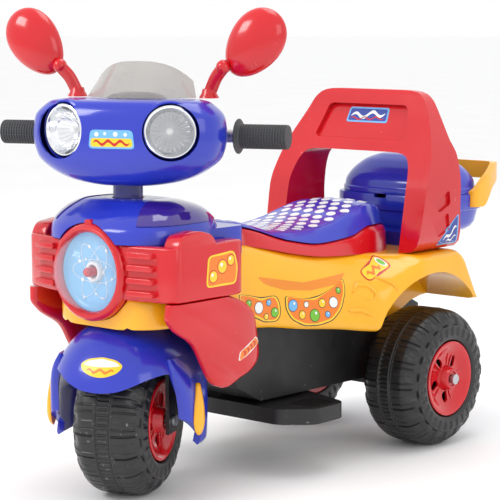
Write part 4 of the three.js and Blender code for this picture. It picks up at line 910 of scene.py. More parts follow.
def add_trunk_lid():
    seat = TRUNK_RIM + 0.3
    rings = [level_ring(seat + rise, a, b, b, 0, TRUNK_Y - 4 * (rise / 62) ** 3, 2.9, 96)
             for rise, a, b in LID_ROWS]
    lid = new_object("trunk_lid_moulding", *loft(refine(rings, 70), (False, True)), TRIKE, 45)
    thicken(lid, 3)
    settle(lid, 45)
    strap = block(-29, 29, 208, 227, seat, seat + 4)
    web = block(-29, 29, HINGE_Y - 3.5, HINGE_Y + 3.5, HINGE_Z, seat + 4)
    unite(lid, strap, hinge_rod(5, 29), web)
    cut(lid, hinge_rod(2.3, 60))
    bevel(lid, 0.8, 2, 40)
    finish_piece(lid, "trunk_lid", blue, "trunk_lid")


def add_trunk_handle():
    bow = rounded(both_sides([(119.3, 150), (119.3, 193), (108, 232), (92, 250)]), 14, 6, 1)
    handle = new_object("trunk_handle_strap", *prism(bow, "z", 350, 420), TRIKE)
    hollow = rounded(both_sides([(110.3, 150), (110.3, 190), (97, 227), (83.3, 241)]), 12, 6, 1)
    cut(handle, prism(hollow, "z", 340, 430))
    side = [(143, 351), (180, 351), (204, 378), (230, 390), (255, 390), (255, 418), (228, 418), (184, 400),
            (143, 370)]
    keep_inside(handle, prism(rounded(side, 8, 6, 1), "x", -140, 140))
    bevel(handle, 2.5, 4, 32)
    finish_piece(handle, "root", yellow, "trunk_handle")


body_piece = add_body()
pad_piece = add_seat()
bar_piece = add_roll_bar()
add_trunk_tub()
add_trunk_lid()
add_trunk_handle()


# ---- Tank cover, windows and lamp housing ----
NACELLE_TOP = 356.0
NACELLE_BOTTOM = 282.3
POD_OUTER, POD_REAR = 140.65, -430.0
DIAL_RADIUS = LAMP_RADIUS - 6
# height, half width, reach to the front and to the rear
TANK_RINGS = [(356.3, 110, 84, 116), (364, 110, 83.5, 115.5), (372, 109, 82, 114), (384, 104, 73, 106),
              (396, 94, 57, 90), (404, 79, 43, 68), (408, 64, 36, 52), (410, 44, 28, 36)]


def tank_dome(inset=0.0, count=60):
    rings = [level_ring(z - inset, a - inset, f - inset, r - inset, 0, STEER_Y, 2.6, 96) for z, a, f,
             r in TANK_RINGS]
    return loft(refine(rings, count))


def window_outline(grow=0.0):
    """A lens with both ends drawn out to points, seen from above."""
    ends = ((88, STEER_Y - 82 - grow), (88, STEER_Y + 96 + grow))
    inner = [(62 - grow, STEER_Y - 36), (50 - grow, STEER_Y + 12), (57 - grow, STEER_Y + 62)]
    curve = smooth_path([ends[0], *inner, ends[1]], 30)
    return [tuple(p) for p in curve] + [(135, STEER_Y + 94 + grow), (135, STEER_Y - 80 - grow)]


def window_prism(grow, side):
    return on_side(prism(window_outline(grow), "z", NACELLE_TOP + 25 - grow, NACELLE_TOP + 80), side)


def add_tank():
    cover = new_object("tank_moulding", *tank_dome(), TRIKE, 50)
    tail = rounded([(-108, -396), (-104, STEER_Y + 40), (104, STEER_Y + 40), (108, -396)], 12, 6, 2)
    unite(cover, prism(tail, "z", 331, NACELLE_TOP + 14))
    cuts = [tool(tank_dome(3)), tool(block(-105, 105, STEER_Y + 76, -399, 320, 364))]
    for side in (1, -1):
        shelf = tool(window_prism(0.4, side))
        cut(shelf, tank_dome(2.2))
        cuts.append(shelf)
    cuts.append(tool(rod(22.5, 330, 440, "z", (0, STEER_Y, 0))))
    cuts.append(tool(rod(LAMP_RADIUS + LAMP_ROOM, -40, 40.4, "y", (0, LAMP_Y, LAMP_Z))))
    boolean(cover, cuts)
    bevel(cover, 1.2, 3, 40)
    finish_piece(cover, "root", blue, "tank_cover")
    for label, side in SIDES:
        pane = tool(window_prism(0, side))
        keep_inside(pane, tank_dome(-1.0))
        cut(pane, tank_dome(1.7))
        pane.name = f"tinted_window_{label}"
        bevel(pane, 0.8, 3, 45)
        finish_piece(pane, "root", purple, f"tank_window_{label}")


def nacelle_outline():
    half = [(64, LAMP_Y + 1), (100, LAMP_Y + 7), (POD_OUTER - 5, LAMP_Y + 17), (POD_OUTER, LAMP_Y + 27),
            (POD_OUTER, POD_REAR - 12), (POD_OUTER - 9, POD_REAR)]
    return both_sides(half)


def lamp_ring_shape():
    """The bezel round the front lamp, thick and rounded, with a hollow throat."""
    r = LAMP_RADIUS
    inner = r - LAMP_ROOM
    profile = [(inner, 39), (inner, 4), (r - 8.4, 3), (r - 8.6, -2), (r - 7.2, -6), (r - 4.4, -8.6),
               (r - 1, -9), (r + 2, -7), (r + 4, -2.5), (r + 4.4, 4), (r + 3.4, 12), (r, 20), (r, 39)]
    return hoop(profile, "y", 128)


def rounded_tool(shape, width, segments):
    """A tool whose own edges are rounded before it is joined on."""
    return settle(bevel(tool(shape), width, segments, 40))


def add_nacelle():
    band = new_object("lamp_housing",
                      *prism(rounded(nacelle_outline(), 12, 7, 3), "z", NACELLE_BOTTOM, NACELLE_TOP))
    bevel(band, 7, 4, 50)
    settle(band)
    inner_x = TANK_RINGS[0][1] + 1
    hollow = [(92, LAMP_Y + 16), (inner_x, LAMP_Y + 24), (inner_x, POD_REAR + 10)]
    cut(band, prism([(0, LAMP_Y + 12)] + both_sides(hollow), "z", NACELLE_BOTTOM - 5, NACELLE_TOP + 5))
    crown = rounded([(LAMP_Y + 20, 350), (STEER_Y + 28, 350), (STEER_Y + 18, 368), (STEER_Y - 6, 375),
                     (LAMP_Y + 30, 370)], 9, 6, 1)
    added = []
    for side in (1, -1):
        for i in range(4):
            bar = rounded([(-22, -4.2), (22 - i * 0.8, -4.2), (20 - i * 0.8, 4.2), (-22, 4.2)], 3, 5, 1)
            turn = Matrix.Translation((90, LAMP_Y + 5, NACELLE_BOTTOM + 11 + i * 17))
            turn = turn @ Matrix.Rotation(0.13, 4, "Z")
            rib = on_side(moved(prism(bar, "y", -6.5, 6), turn), side)
            added.append(rounded_tool(rib, 1.6, 3))
        brow = on_side(prism(crown, "x", inner_x + 1, POD_OUTER - 0.5), side)
        added.append(rounded_tool(brow, 4.5, 4))
    boolean(band, added, "UNION")
    slot = block(inner_x + 3, POD_OUTER - 3, LAMP_Y + 34, POD_REAR - 16, 270, 350)
    bore = rod(LAMP_RADIUS - 2, -30, 45, "y", (0, LAMP_Y, LAMP_Z))
    cut(band, bore, tank_dome(-0.4), slot, flipped(slot))
    peak = prism(rounded([(-8, 62), (8, 62), (5, 71), (-5, 71)], 3, 4, 1), "y", -4, 16)
    unite(band, lamp_ring_shape(), peak, place=LAMP_PLACE)
    bevel(band, 0.8, 2, 40)
    return finish_piece(band, "root", red, "nacelle")


def add_dial():
    r = DIAL_RADIUS
    plate = [(5.6, 14), (5.6, 9), (14, 9.4), (r - 9, 7), (r - 4, 4), (r - 2.5, 1.5), (r - 0.5, 1.5),
             (r - 0.3, 10), (r - 0.3, 14)]
    add_piece("dial_dish", hoop(plate, "y", 96), "root", dial_blue, "dial_plate", LAMP_PLACE)
    hub = [(0.0, -10), (3, -10), (5.5, -8.5), (6.5, -5), (6.8, 9), (4.9, 9.2), (4.9, 16), (0.0, 16)]
    add_piece("dial_centre", turned(hub, "y", 48), "root", red, "dial_hub", LAMP_PLACE, 50)
    outer, inner = [], []
    for angle in np.linspace(0, math.pi / 2, 24):
        c = max(math.cos(angle), 0) ** 0.8 * 0.94
        outer.append(((r - 0.6) * c + 0.01, -45 * math.sin(angle)))
        inner.append(((r - 2.6) * c + 0.01, -43 * math.sin(angle)))
    dome = [(r - 0.6, 1.2), *outer, *reversed(inner), (r - 2.6, 1.2)]
    add_piece("dial_bubble", hoop(dome, "y", 96), "root", dome_clear, "dial_dome",
              LAMP_PLACE, 60)
    add_dial_prints()


def dial_orbit(degrees):
    """A thin elliptic band on the dial, turned by an angle."""
    c, s = math.cos(math.radians(degrees)), math.sin(math.radians(degrees))
    angles = np.arange(72) * 2 * math.pi / 72
    a, b = 40 * np.cos(angles), 15 * np.sin(angles)
    ring = np.stack([a * c - b * s, a * s + b * c], axis=1)
    out = ring * (1 + 0.9 / np.linalg.norm(ring, axis=1))[:, None]
    n = len(ring)
    points = [(x, dial_lift(x, z), z) for x, z in (*ring, *out)]
    return points, [(i, (i + 1) % n, n + (i + 1) % n, n + i) for i in range(n)]


def add_dial_prints():
    """White orbit rings, dots and a collar round the hub."""
    shapes = [dial_orbit(degrees) for degrees in (0, 60, 120)]
    golden_angle = 2.399
    for i in range(14):
        angle, reach = i * golden_angle, 15 + (i * 7.7) % 27
        shapes.append(dial_disc(reach * math.cos(angle), reach * math.sin(angle), 1.7 if i % 3 else 2.6))
    lines = new_object("dial_orbits", *joined(*shapes), LAMP_PLACE)
    settle(thicken(lines, 0.2, False))
    lines.data.materials.append(white)
    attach(lines, "root")
    collar = [(9, 9.4), (9, 4), (10.5, 3), (13, 3.2), (14, 5), (14, 9.4)]
    decorate("dial_collar", hoop(collar, "y", 48), white, "root", LAMP_PLACE)


def dial_lift(x, z):
    reach = math.hypot(x, z)
    return float(np.interp(reach, (0, 14, DIAL_RADIUS - 9, DIAL_RADIUS - 4), (8.5, 8.8, 6.4, 3.4)))


def dial_disc(x, z, radius):
    points = [(x, dial_lift(x, z) - 0.1, z)]
    for t in np.arange(16) * math.pi / 8:
        a, b = x + radius * math.cos(t), z + radius * math.sin(t)
        points.append((a, dial_lift(a, b) - 0.1, b))
    return points, [(0, 1 + k, 1 + (k + 1) % 16) for k in range(16)]


# ---- Side fairings ----
FAIRING_X = 128.65
# drop under the housing, front end and rear end from the steering axis, half thickness
FAIRING_ROWS = [(0, -60, 58, 13), (-8, -61, 80, 13), (-18, -62, 98, 13.4), (-34, -50, 112, 13.6),
                (-61, -10, 118, 13.4), (-86, 6, 121, 13), (-106, 18, 106, 12), (-119, 30, 76, 9),
                (-125, 44, 60, 5)]


def fairing_shape():
    rings = []
    for drop, front, rear, thick in FAIRING_ROWS:
        middle, reach = STEER_Y + (front + rear) / 2, (rear - front) / 2
        lean = 4 * math.sin(math.radians(min(90, -drop * 1.1)))
        rings.append(level_ring(281.4 + drop, thick, reach, reach, FAIRING_X - lean * 0.5, middle, 2.8, 96))
    return loft(refine(rings, 90))


def fairing_folds(points):
    """Rounded swellings on the outer side, following the lower and the rear edge."""
    out = []
    for x, y, z in points:
        if x > FAIRING_X:
            across = (y - STEER_Y - 20) * 0.5 + (z - 240) * 0.86
            swell = 2.4 * math.exp(-((across + 6) / 13) ** 2) - 2.6 * math.exp(-((across + 34) / 9) ** 2)
            fade = min(1, (x - FAIRING_X) / 8)
            x += swell * fade
        out.append((x, y, z))
    return out


def add_fairings():
    points, faces = fairing_shape()
    shape = (fairing_folds(points), faces)
    made = []
    for label, side in SIDES:
        lobe = new_object(f"fairing_{label}", *on_side(shape, side), TRIKE, 60)
        cut(lobe, body_loft(BODY_ROWS, -0.8, 40), body_loft(nose_rows(), -0.8, 10, 8, 60))
        bevel(lobe, 1.0, 2, 50)
        made.append(finish_piece(lobe, "root", red, f"side_fairing_{label}"))
    return made


add_tank()
nacelle_piece = add_nacelle()
add_dial()
fairing_pieces = add_fairings()


# ---- Front fork, fender and bosses ----
FENDER_TOP = 248.0
FENDER_HALF, FENDER_REACH = 107.0, 117.0
# drop under the top, then shares of the half width, the front reach and the rear reach
FENDER_ROWS = [(0, 0.2, 0.19, 0.2), (3, 0.36, 0.33, 0.36), (10, 0.46, 0.48, 0.46), (19, 0.57, 0.62, 0.55),
               (43, 0.76, 0.83, 0.68), (63, 0.85, 0.94, 0.74), (85, 0.91, 1, 0.78), (114, 0.955, 1.01, 0.78),
               (172, 1, 1.01, 0.78)]


def bell_rings(grow=0.0):
    rings = []
    for drop, a, f, r in FENDER_ROWS:
        rings.append(level_ring(FENDER_TOP - drop + grow, a * FENDER_HALF + grow, f * FENDER_REACH + grow,
                                r * FENDER_REACH + grow, 0, 0, 2.35, 120))
    return refine(rings, 90)


# height, outer reach to the side, half thickness, reach fore and aft
LEG_ROWS = [(76, 103, 16, 36), (80, 105.5, 17.5, 40), (116, 107, 18, 43), (150, 105, 17, 49),
            (172, 100, 14, 56), (188, 92, 10, 60), (200, 84, 6, 58)]


def leg_rings(grow=0.0, side=1):
    rings = []
    for z, outer, half, reach in LEG_ROWS:
        rings.append(level_ring(z, half + grow, reach + grow, reach - 6 + grow, side * (outer - half), 0,
                                3.0, 72))
    return refine(rings, 60)


def fender_leg(side):
    leg = tool(loft(leg_rings(0, side)), FORK)
    hollow = moved(loft(leg_rings(2, side)), Matrix.Translation((-side * 13, 0, -8)))
    wedge = prism([(41, 66), (117, 66), (102, 76), (90, 84), (41, 106)], "y", -90, 90)
    back = prism([(-60, 60), (-20, 60), (-4, 92), (-60, 128)], "x", 55, 120)
    return cut(leg, hollow, on_side(wedge, side), on_side(back, side), place=FORK)


def add_fender():
    shell = new_object("fender_moulding", *loft(bell_rings()), FORK, 50)
    inner = list(bell_rings(-3))
    inner.append(inner[-1] * [1, 1, 0] + [0, 0, 20])
    cut(shell, loft(inner), place=FORK)
    low = FENDER_TOP - 86
    right = [(22, low + 1), (44, low + 8), (62, low + 16), (78, low + 20), (90, low + 12), (98, low - 6),
             (104, low - 30), (130, low - 60)]
    edge = smooth_path([(-x, z) for x, z in reversed(right)] + [(0, low - 1)] + right, 90)
    apron = prism([(130, 0)] + [tuple(p) for p in reversed(edge)] + [(-130, 0)], "y", -200, -38)
    rear = block(-150, 150, 30, 200, 0, FENDER_TOP - 75)
    between = block(-70, 70, -60, 60, 0, 170)
    centre = block(-150, 150, -60, 60, 0, 165)
    cut(shell, apron, rear, between, centre, place=FORK)
    boolean(shell, [fender_leg(side) for side in (1, -1)], "UNION")
    cut(shell, rod(10.6, 225, 260, "z"), place=FORK)
    bevel(shell, 1.3, 3, 38)
    return finish_piece(shell, "steering", blue, "fender")


# height over the middle of a badge, half its length fore and aft
BADGE_ROWS = [(-31, 1.5), (-28, 6), (-22, 10.5), (-8, 14), (8, 12.5), (28, 7), (39, 3), (41, 1)]


def add_fork_badges():
    for label, side in SIDES:
        rings = [level_ring(122 + rise, reach * 0.5 + 2, reach, reach, side * 106, -18, 2, 48)
                 for rise, reach in BADGE_ROWS]
        badge = new_object(f"fork_badge_{label}", *loft(refine(rings, 50)), FORK, 60)
        cut(badge, loft(bell_rings(0.4)), loft(leg_rings(0.4, side)), place=FORK)
        finish_piece(badge, "steering", yellow, f"fork_boss_{label}")


fender_piece = add_fender()
add_fork_badges()


# ---- Handlebar head ----
HEAD_BOTTOM, HEAD_TOP = 428.0, 543.0
HEAD_Y, HEAD_SPLIT = 8.0, 12.0
# rise over the bottom, half width, half depth
HEAD_ROWS = [(0, 46, 34), (2, 60, 40), (6, 78, 48), (18, 106, 58), (40, 130, 66), (67, 136, 68),
             (91, 133, 66), (107, 119, 60), (113, 109, 54), (115, 98, 47)]
HEADLAMP_X, HEADLAMP_Y, HEADLAMP_Z, HEADLAMP_RADIUS = 74.3, -35.0, 502.0, 37.0
HEADLAMP_TOE = math.radians(24)
BAR_Y, BAR_Z, BAR_RADIUS = 59.0, 492.0, 9.0
BUTTON_X, BUTTON_Z = 42.0, 522.0


def head_skin(inset=0.0):
    rings = []
    for rise, a, b in HEAD_ROWS:
        z = HEAD_BOTTOM + min(max(rise, inset), 115 - inset)
        rings.append(level_ring(z, a - inset, b - inset, b - inset, 0, HEAD_Y, 2.5, 120))
    return loft(refine(rings, 70))


def lamp_place(side):
    return FORK @ Matrix.Translation((side * HEADLAMP_X, HEADLAMP_Y, HEADLAMP_Z)) @ Matrix.Rotation(
        side * HEADLAMP_TOE, 4, "Z")


def add_head():
    """The two halves of the head; the front one carries the headlamp collars."""
    halves = {}
    for label in ("front", "rear"):
        shell = new_object(f"head_{label}_moulding", *head_skin(), FORK, 50)
        cut(shell, head_skin(3), place=FORK)
        start, end = (HEAD_SPLIT - 0.3, 200) if label == "front" else (-200, HEAD_SPLIT)
        other_half = block(-200, 200, start, end, 300, 700)
        cuts = [tool(other_half, FORK), tool(rod(21, 418, 448, "z"), FORK),
                tool(rod(BAR_RADIUS + 0.3, -200, 200, "x", (0, BAR_Y, BAR_Z)), FORK)]
        if label == "front":
            cuts += [tool(rod(HEADLAMP_RADIUS + 1, -40, 45, "y"), lamp_place(side)) for side in (1, -1)]
        else:
            cuts.append(tool(rod(8.6, 20, 90, "y", (BUTTON_X, 0, BUTTON_Z)), FORK))
        boolean(shell, cuts)
        if label == "front":
            boolean(shell, [tool(lamp_rim_shape(), lamp_place(side)) for side in (1, -1)], "UNION")
        bevel(shell, 1.0, 3, 40)
        halves[label] = finish_piece(shell, "steering", blue, f"head_{label}")
    return halves["front"]


def lamp_rim_shape():
    """The raised blue collar that each headlamp sits in."""
    r = HEADLAMP_RADIUS + 1
    profile = [(r, 14), (r, -3), (r + 1.2, -4.6), (r + 3.2, -3.4), (r + 4.6, 2), (r + 3, 14)]
    return hoop(profile, "y", 96)


# distance from the lamp's axis, depth behind its rim
DISH_DEPTHS = [(12, 21.8), (16, 20), (23, 12.6), (27, 7)]


def headlamp_flutes():
    """Thin raised lines that run outwards in the reflector."""
    points, faces = block(12, 27, -0.35, 0.35, 0, 1)
    line = []
    for x, y, z in points:
        rise = 2.0 if z > 0.5 else 0.2
        line.append((x, value(DISH_DEPTHS, x) - rise * (1 if x > 20 else 0.7), y))
    return joined(*[moved((line, faces), Matrix.Rotation(k * math.pi / 12, 4, "Y")) for k in range(24)])


def add_headlamps():
    r = HEADLAMP_RADIUS
    cup = [(r - 0.4, 6), (r - 0.4, -3), (r - 1.2, -5.6), (r - 3, -6.6), (r - 4.6, -6.2), (r - 5.4, -4.4),
           (r - 6.6, -2), (r - 8.5, 4), (r - 14, 13), (r - 22, 20), (12, 22.5), (7, 24), (0.0, 24.4),
           (0.0, 27), (12, 26), (r - 4, 8)]
    lens_r = r - 6.4
    face = [(0.0, -9), (8, -8.8), (16, -8.1), (23, -6.6), (28, -4.6), (lens_r, -2.2), (lens_r, -0.4),
            (28, -2.6), (23, -4.6), (16, -6.0), (8, -6.6), (0.0, -6.8)]
    bulb = [(0.0, 8), (3, 8.6), (4.6, 11), (4.8, 14), (3.4, 18), (3.2, 23), (0.0, 23)]
    for label, side in SIDES:
        place = lamp_place(side)
        add_piece(f"headlamp_dish_{label}", hoop(cup, "y", 128), "steering", chrome,
                  f"headlamp_reflector_{label}", place, 30)
        add_piece(f"headlamp_glass_{label}", turned(face, "y", 96), "steering", lens_clear,
                  f"headlamp_lens_{label}", place, 60)
        decorate(f"headlamp_bulb_{label}", turned(bulb, "y", 40), white, "steering", place, 60)
        decorate(f"headlamp_flutes_{label}", headlamp_flutes(), chrome, "steering", place)


def grip_shape():
    """A closed sleeve with a flange, rows of rings and flat-topped knurls."""
    profile = [(9.4, 137.5), (22.6, 137.5), (24, 138.6), (24, 140), (22, 141.4), (18, 142), (16.2, 144)]
    for x in 146 + 3.9 * np.arange(16):
        profile += [(16.9, x), (16.9, x + 1.6), (15.7, x + 2.2), (15.7, x + 3.2)]
    profile += [(16.8, 208.6), (15.6, 210.3), (13, 210.6), (0.0, 210.6), (0.0, 205.5), (9.4, 205.5)]
    points, faces = hoop(profile, "x", 96)
    knurled = []
    for x, y, z in points:
        if 145 < x < 209 and math.hypot(y, z) > 15.2:
            share = 1 - 0.035 * (math.cos(24 * math.atan2(z, y)) < -0.2)
            y, z = y * share, z * share
        knurled.append((x, y, z))
    return moved((knurled, faces), Matrix.Translation((0, BAR_Y, BAR_Z)))


def add_grips():
    for label, side in SIDES:
        add_piece(f"grip_sleeve_{label}", on_side(grip_shape(), side), "steering", grip_grey,
                  f"grip_{label}", FORK, 30)


def screen_point(u, v):
    """A place on the windscreen's front: u runs across it from 0 to 1, v up it."""
    s = 2 * u - 1
    height = 50 * (1 - 0.55 * abs(s) ** 3)
    x = 80 * s * (1 - 0.12 * v)
    return np.array([x, 8 + 44 * s * s + 30 * v - 14 * v * s * s, HEAD_TOP + 0.4 + height * v])


def add_windshield():
    across, up = 72, 24
    front = [[screen_point(i / across, j / up) for i in range(across + 1)] for j in range(up + 1)]
    back = [[p + [0, 2.2, 0] for p in row] for row in front]
    points = [tuple(p) for sheet in (front, back) for row in sheet for p in row]
    n, m = across + 1, (across + 1) * (up + 1)
    faces = []
    for j in range(up):
        for i in range(across):
            a = j * n + i
            faces.append((a, a + 1, a + n + 1, a + n))
            faces.append((m + a, m + a + n, m + a + n + 1, m + a + 1))
    rim = list(range(n)) + [j * n + across for j in range(1, up + 1)]
    rim += [up * n + i for i in range(across - 1, -1, -1)] + [j * n for j in range(up - 1, 0, -1)]
    for k, a in enumerate(rim):
        b = rim[(k + 1) % len(rim)]
        faces.append((a, b, m + b, m + a))
    screen = new_object("windscreen", points, faces, FORK, 50)
    bevel(screen, 0.7, 2, 50)
    finish_piece(screen, "steering", screen_amber, "windshield")


# ---- Mirrors ----
MIRROR = (161.0, 62.0, 618.0)
MIRROR_TILT = math.radians(38)
KNUCKLE = (120.0, 50.0, 586.0)


def egg(grow=0.0, steps=72, rows=40):
    """The mirror's outer form: an egg, deeper behind than in front, set at the mirror's tilt."""
    points, faces = [], []
    for j in range(rows + 1):
        phi = math.pi * j / rows
        for i in range(steps):
            theta = 2 * math.pi * i / steps
            x, y, z = math.sin(phi) * math.cos(theta), math.cos(phi), math.sin(phi) * math.sin(theta)
            width = 37 * (1 + 0.14 * y)
            deep = 22 + grow if z > 0 else 12 + grow
            points.append((x * (width + grow), -z * deep, y * (52 + grow)))
    for j in range(rows):
        for i in range(steps):
            a, b = j * steps + i, j * steps + (i + 1) % steps
            faces.append((a, b, b + steps, a + steps))
    turn = Matrix.Translation(MIRROR) @ Matrix.Rotation(MIRROR_TILT, 4, "Y")
    return moved((points, faces), turn)


def ball(radius, centre):
    angles = np.linspace(0, math.pi, 25)
    profile = [(max(0.0, radius * math.sin(a)), radius * math.cos(a)) for a in angles]
    return moved(turned(profile, "z", 48), Matrix.Translation(centre))


def add_mirror(label, side):
    body = f"mirror_{label}"
    glass_y = MIRROR[1]
    cup = new_object(f"mirror_cup_{label}", *on_side(egg(), side), FORK, 50)
    beyond = block(0, 400, glass_y + 6, glass_y + 60, 300, 900)
    cut(cup, *[on_side(shape, side) for shape in (beyond, egg(-3), ball(10.3, KNUCKLE))], place=FORK)
    bevel(cup, 0.9, 3, 40)
    finish_piece(cup, body, red, f"mirror_back_{label}")
    film = tool(on_side(egg(-3.3), side), FORK)
    film.name = f"mirror_pane_{label}"
    keep_inside(film, on_side(block(0, 400, glass_y + 3.8, glass_y + 5.7, 300, 900), side), FORK)
    finish_piece(film, body, mirror, f"mirror_glass_{label}")


def add_mirror_stem(label, side):
    path = smooth_path([(96, 58, 543.3), (97.5, 57.6, 549), (101, 57, 557), (108, 54.5, 571),
                        (117, 51, 582)], 40)
    arm = loft(sweep(path, oval(9, 7, 40), (0, 1, 0)))
    stem = new_object(f"mirror_arm_{label}", *on_side(arm, side), FORK, 60)
    foot = turned([(0.0, 543.4), (14, 543.4), (13, 546), (10.5, 550), (9, 556), (0.0, 556)], "z", 48)
    foot = moved(foot, Matrix.Translation((97, 57.8, 0)))
    unite(stem, on_side(foot, side), on_side(ball(10, KNUCKLE), side), place=FORK)
    cut(stem, block(-300, 300, -200, 200, 400, HEAD_TOP + 0.3), place=FORK)
    finish_piece(stem, "steering", red, f"mirror_stem_{label}")


head_piece = add_head()
add_headlamps()
add_grips()
add_windshield()
for label, side in SIDES:
    add_mirror(label, side)
    add_mirror_stem(label, side)


# ---- Footboard ----
def add_footboard():
    low, high = size_mm("footboard")
    half = (high.x - low.x) / 2
    front, rear = low.y, high.y
    right = [(108, front), (half, front + 37), (half, front + 96), (140, rear - 45)]
    outline = rounded(right + [(0, rear)] + [(-x, y) for x, y in reversed(right)], 12, 6, 1)
    pan = new_object("foot_tray", *prism(outline, "z", low.z, high.z))
    inner = [tuple(p * [0.972, 1] + [0, (front + rear) / 2 * 0.03]) for p in outline * [1, 0.97]]
    grooves = []
    for x in (112, -112):
        for y in front + 44 + 8 * np.arange(7):
            grooves.append(block(x - 24, x + 24, y, y + 3, high.z - 1.4, high.z + 5))
    hollow = prism(inner, "z", low.z - 5, high.z - 4)
    pedal_low, pedal_high = size_mm("accelerator_pedal")
    slot = block(pedal_low.x + 12, pedal_high.x - 12, pedal_high.y - 31, pedal_high.y - 15, low.z - 2,
                 high.z + 5)
    cut(pan, hollow, slot, *grooves)
    bevel(pan, 1.6, 3, 38)
    finish_piece(pan, "root", black, "footboard")


add_footboard()


# ---- Printed labels and raised patterns ----
def surface_of(piece, place):
    """What a ray finds on the finished surface of a piece, in the millimetres of a place."""
    graph = bpy.context.evaluated_depsgraph_get()
    work = bmesh.new()
    work.from_mesh(piece.evaluated_get(graph).to_mesh())
    work.transform(place.inverted() @ piece.matrix_world)
    tree = BVHTree.FromBMesh(work)
    work.free()
    return tree


VIEWS = {
    "left": (lambda a, b: Vector((400, a, b)), Vector((-1, 0, 0))),
    "right": (lambda a, b: Vector((-400, a, b)), Vector((1, 0, 0))),
    "front": (lambda a, b: Vector((a, -900, b)), Vector((0, 1, 0))),
    "top": (lambda a, b: Vector((a, b, 900)), Vector((0, 0, -1))),
}


def landed(tree, view, a, b, lift):
    start, way = VIEWS[view]
    place, normal, _, _ = tree.ray_cast(start(a, b), way)
    if place is None:
        place, normal, _, _ = tree.find_nearest(start(a, b) + way * 300)
    if normal.dot(way) > 0:
        normal = -normal
    return place + normal * lift


def patch(outline, tree, view, lift=0.4, rings=7):
    """A thin print laid on a surface: its outline is seen square on from one side."""
    outline = np.asarray(outline, float)
    centre = outline.mean(axis=0)
    n = len(outline)
    points = [tuple(landed(tree, view, *centre, lift))]
    faces = [(0, 1 + i, 1 + (i + 1) % n) for i in range(n)]
    for ring in range(1, rings + 1):
        for p in centre + (outline - centre) * ring / rings:
            points.append(tuple(landed(tree, view, *p, lift)))
    for p in outline:
        points.append(tuple(landed(tree, view, *p, -0.3)))
    for ring in range(rings):
        a, b = 1 + ring * n, 1 + (ring + 1) * n
        faces += [(a + i, b + i, b + (i + 1) % n, a + (i + 1) % n) for i in range(n)]
    return points, faces


def disc(a, b, radius, count=24, squash=1.0):
    angles = np.arange(count) * 2 * math.pi / count
    return np.stack([a + radius * np.cos(angles), b + radius * squash * np.sin(angles)], axis=1)


def turned_outline(outline, a, b, degrees):
    c, s = math.cos(math.radians(degrees)), math.sin(math.radians(degrees))
    outline = np.asarray(outline, float)
    return np.stack([a + outline[:, 0] * c - outline[:, 1] * s, b + outline[:, 0] * s + outline[:, 1] * c],
                    axis=1)


def grown(outline, by):
    outline = np.asarray(outline, float)
    centre = outline.mean(axis=0)
    away = outline - centre
    length = np.linalg.norm(away, axis=1)[:, None]
    return centre + away * (length + by) / length


INK_COLOURS = {
    "orange": (0.85, 0.20, 0.008), "yellow": (0.92, 0.60, 0.02), "black": (0.015, 0.015, 0.016),
    "green": (0.16, 0.50, 0.03), "sky": (0.16, 0.45, 0.80), "navy": (0.02, 0.05, 0.33),
    "white": (0.84, 0.84, 0.82), "red": (0.55, 0.01, 0.01),
}
INKS = {name: plastic(f"ink_{name}", colour, 0.28, 0.2, 0.00002) for name, colour in INK_COLOURS.items()}


def printed(name, ink, shapes, body="root", place=TRIKE):
    decorate(name, joined(*shapes), INKS[ink], body, place, 50)


def stamped(name, ink, outline, tree, view, lift, rings=7, body="root", place=TRIKE):
    """One outline printed on a surface."""
    printed(name, ink, [patch(outline, tree, view, lift, rings)], body, place)

# outlines and bubbles on the flank (y, z); a bubble also has its radius and its ink
PANEL_ONE = [(-396, 272), (-372, 268), (-346, 262), (-316, 262), (-309, 250), (-309, 232), (-318, 224),
             (-342, 226), (-368, 238), (-388, 256)]
PANEL_TWO = [(-300, 260), (-280, 254), (-258, 251), (-232, 254), (-206, 262), (-180, 274), (-185, 254),
             (-196, 230), (-214, 215), (-238, 210), (-266, 212), (-290, 224), (-300, 240)]
BUBBLES = [(-372, 256, 5.0, "green"), (-352, 248, 8.0, "white"), (-332, 253, 4.2, "sky"),
           (-338, 234, 4.0, "yellow"), (-321, 238, 6.5, "green"), (-286, 244, 8.0, "sky"),
           (-270, 229, 5.5, "yellow"), (-261, 243, 4.0, "white"), (-247, 226, 8.5, "green"),
           (-231, 242, 6.0, "yellow"), (-223, 225, 4.2, "sky"), (-210, 241, 7.5, "white"),
           (-198, 257, 4.0, "green")]


def wave_band(start, end, height, width, swings, tree, view, lift):
    """A slim waving band between two places, printed on a surface."""
    t = np.linspace(0, 1, 40)
    a = start[0] + (end[0] - start[0]) * t
    b = start[1] + (end[1] - start[1]) * t + height * np.sin(t * swings * 2 * math.pi)
    half = width / 2 * np.sqrt(np.clip(1 - (2 * t - 1) ** 4, 0.02, 1))
    points, faces = [], []
    for i in range(len(t)):
        for share in (-1, -0.33, 0.33, 1):
            points.append(tuple(landed(tree, view, a[i], b[i] + half[i] * share, lift)))
    for i in range(len(t) - 1):
        for k in range(i * 4, i * 4 + 3):
            faces.append((k, k + 1, k + 5, k + 4))
    return points, faces


def rounded_list(outline, radius):
    return [tuple(p) for p in rounded(outline, radius, 5, 3)]


# each raised swirl's path along the flank (y, z), and its thickness
SWIRLS = [
    ([(-172, 252), (-156, 262), (-140, 259), (-133, 247), (-142, 238), (-152, 242)], 4.4),
    ([(-184, 226), (-168, 226), (-152, 219), (-141, 209)], 4.0),
    ([(-122, 270), (-108, 262), (-101, 252), (-100, 243)], 3.6),
]
# outline of the smile-shaped dip in the flank (y, z), and its darker yellow: the dip is painted shade, a
# darker patch laid on the surface, not a hollow
DIP_SHADE_OUTLINE = [(-352, 292), (-300, 279), (-250, 272), (-200, 272), (-168, 280), (-196, 266), (-250, 262), (-302, 268),
       (-338, 280)]
flank_shade = plastic("yellow_shadow", (0.80, 0.24, 0.006), 0.22)


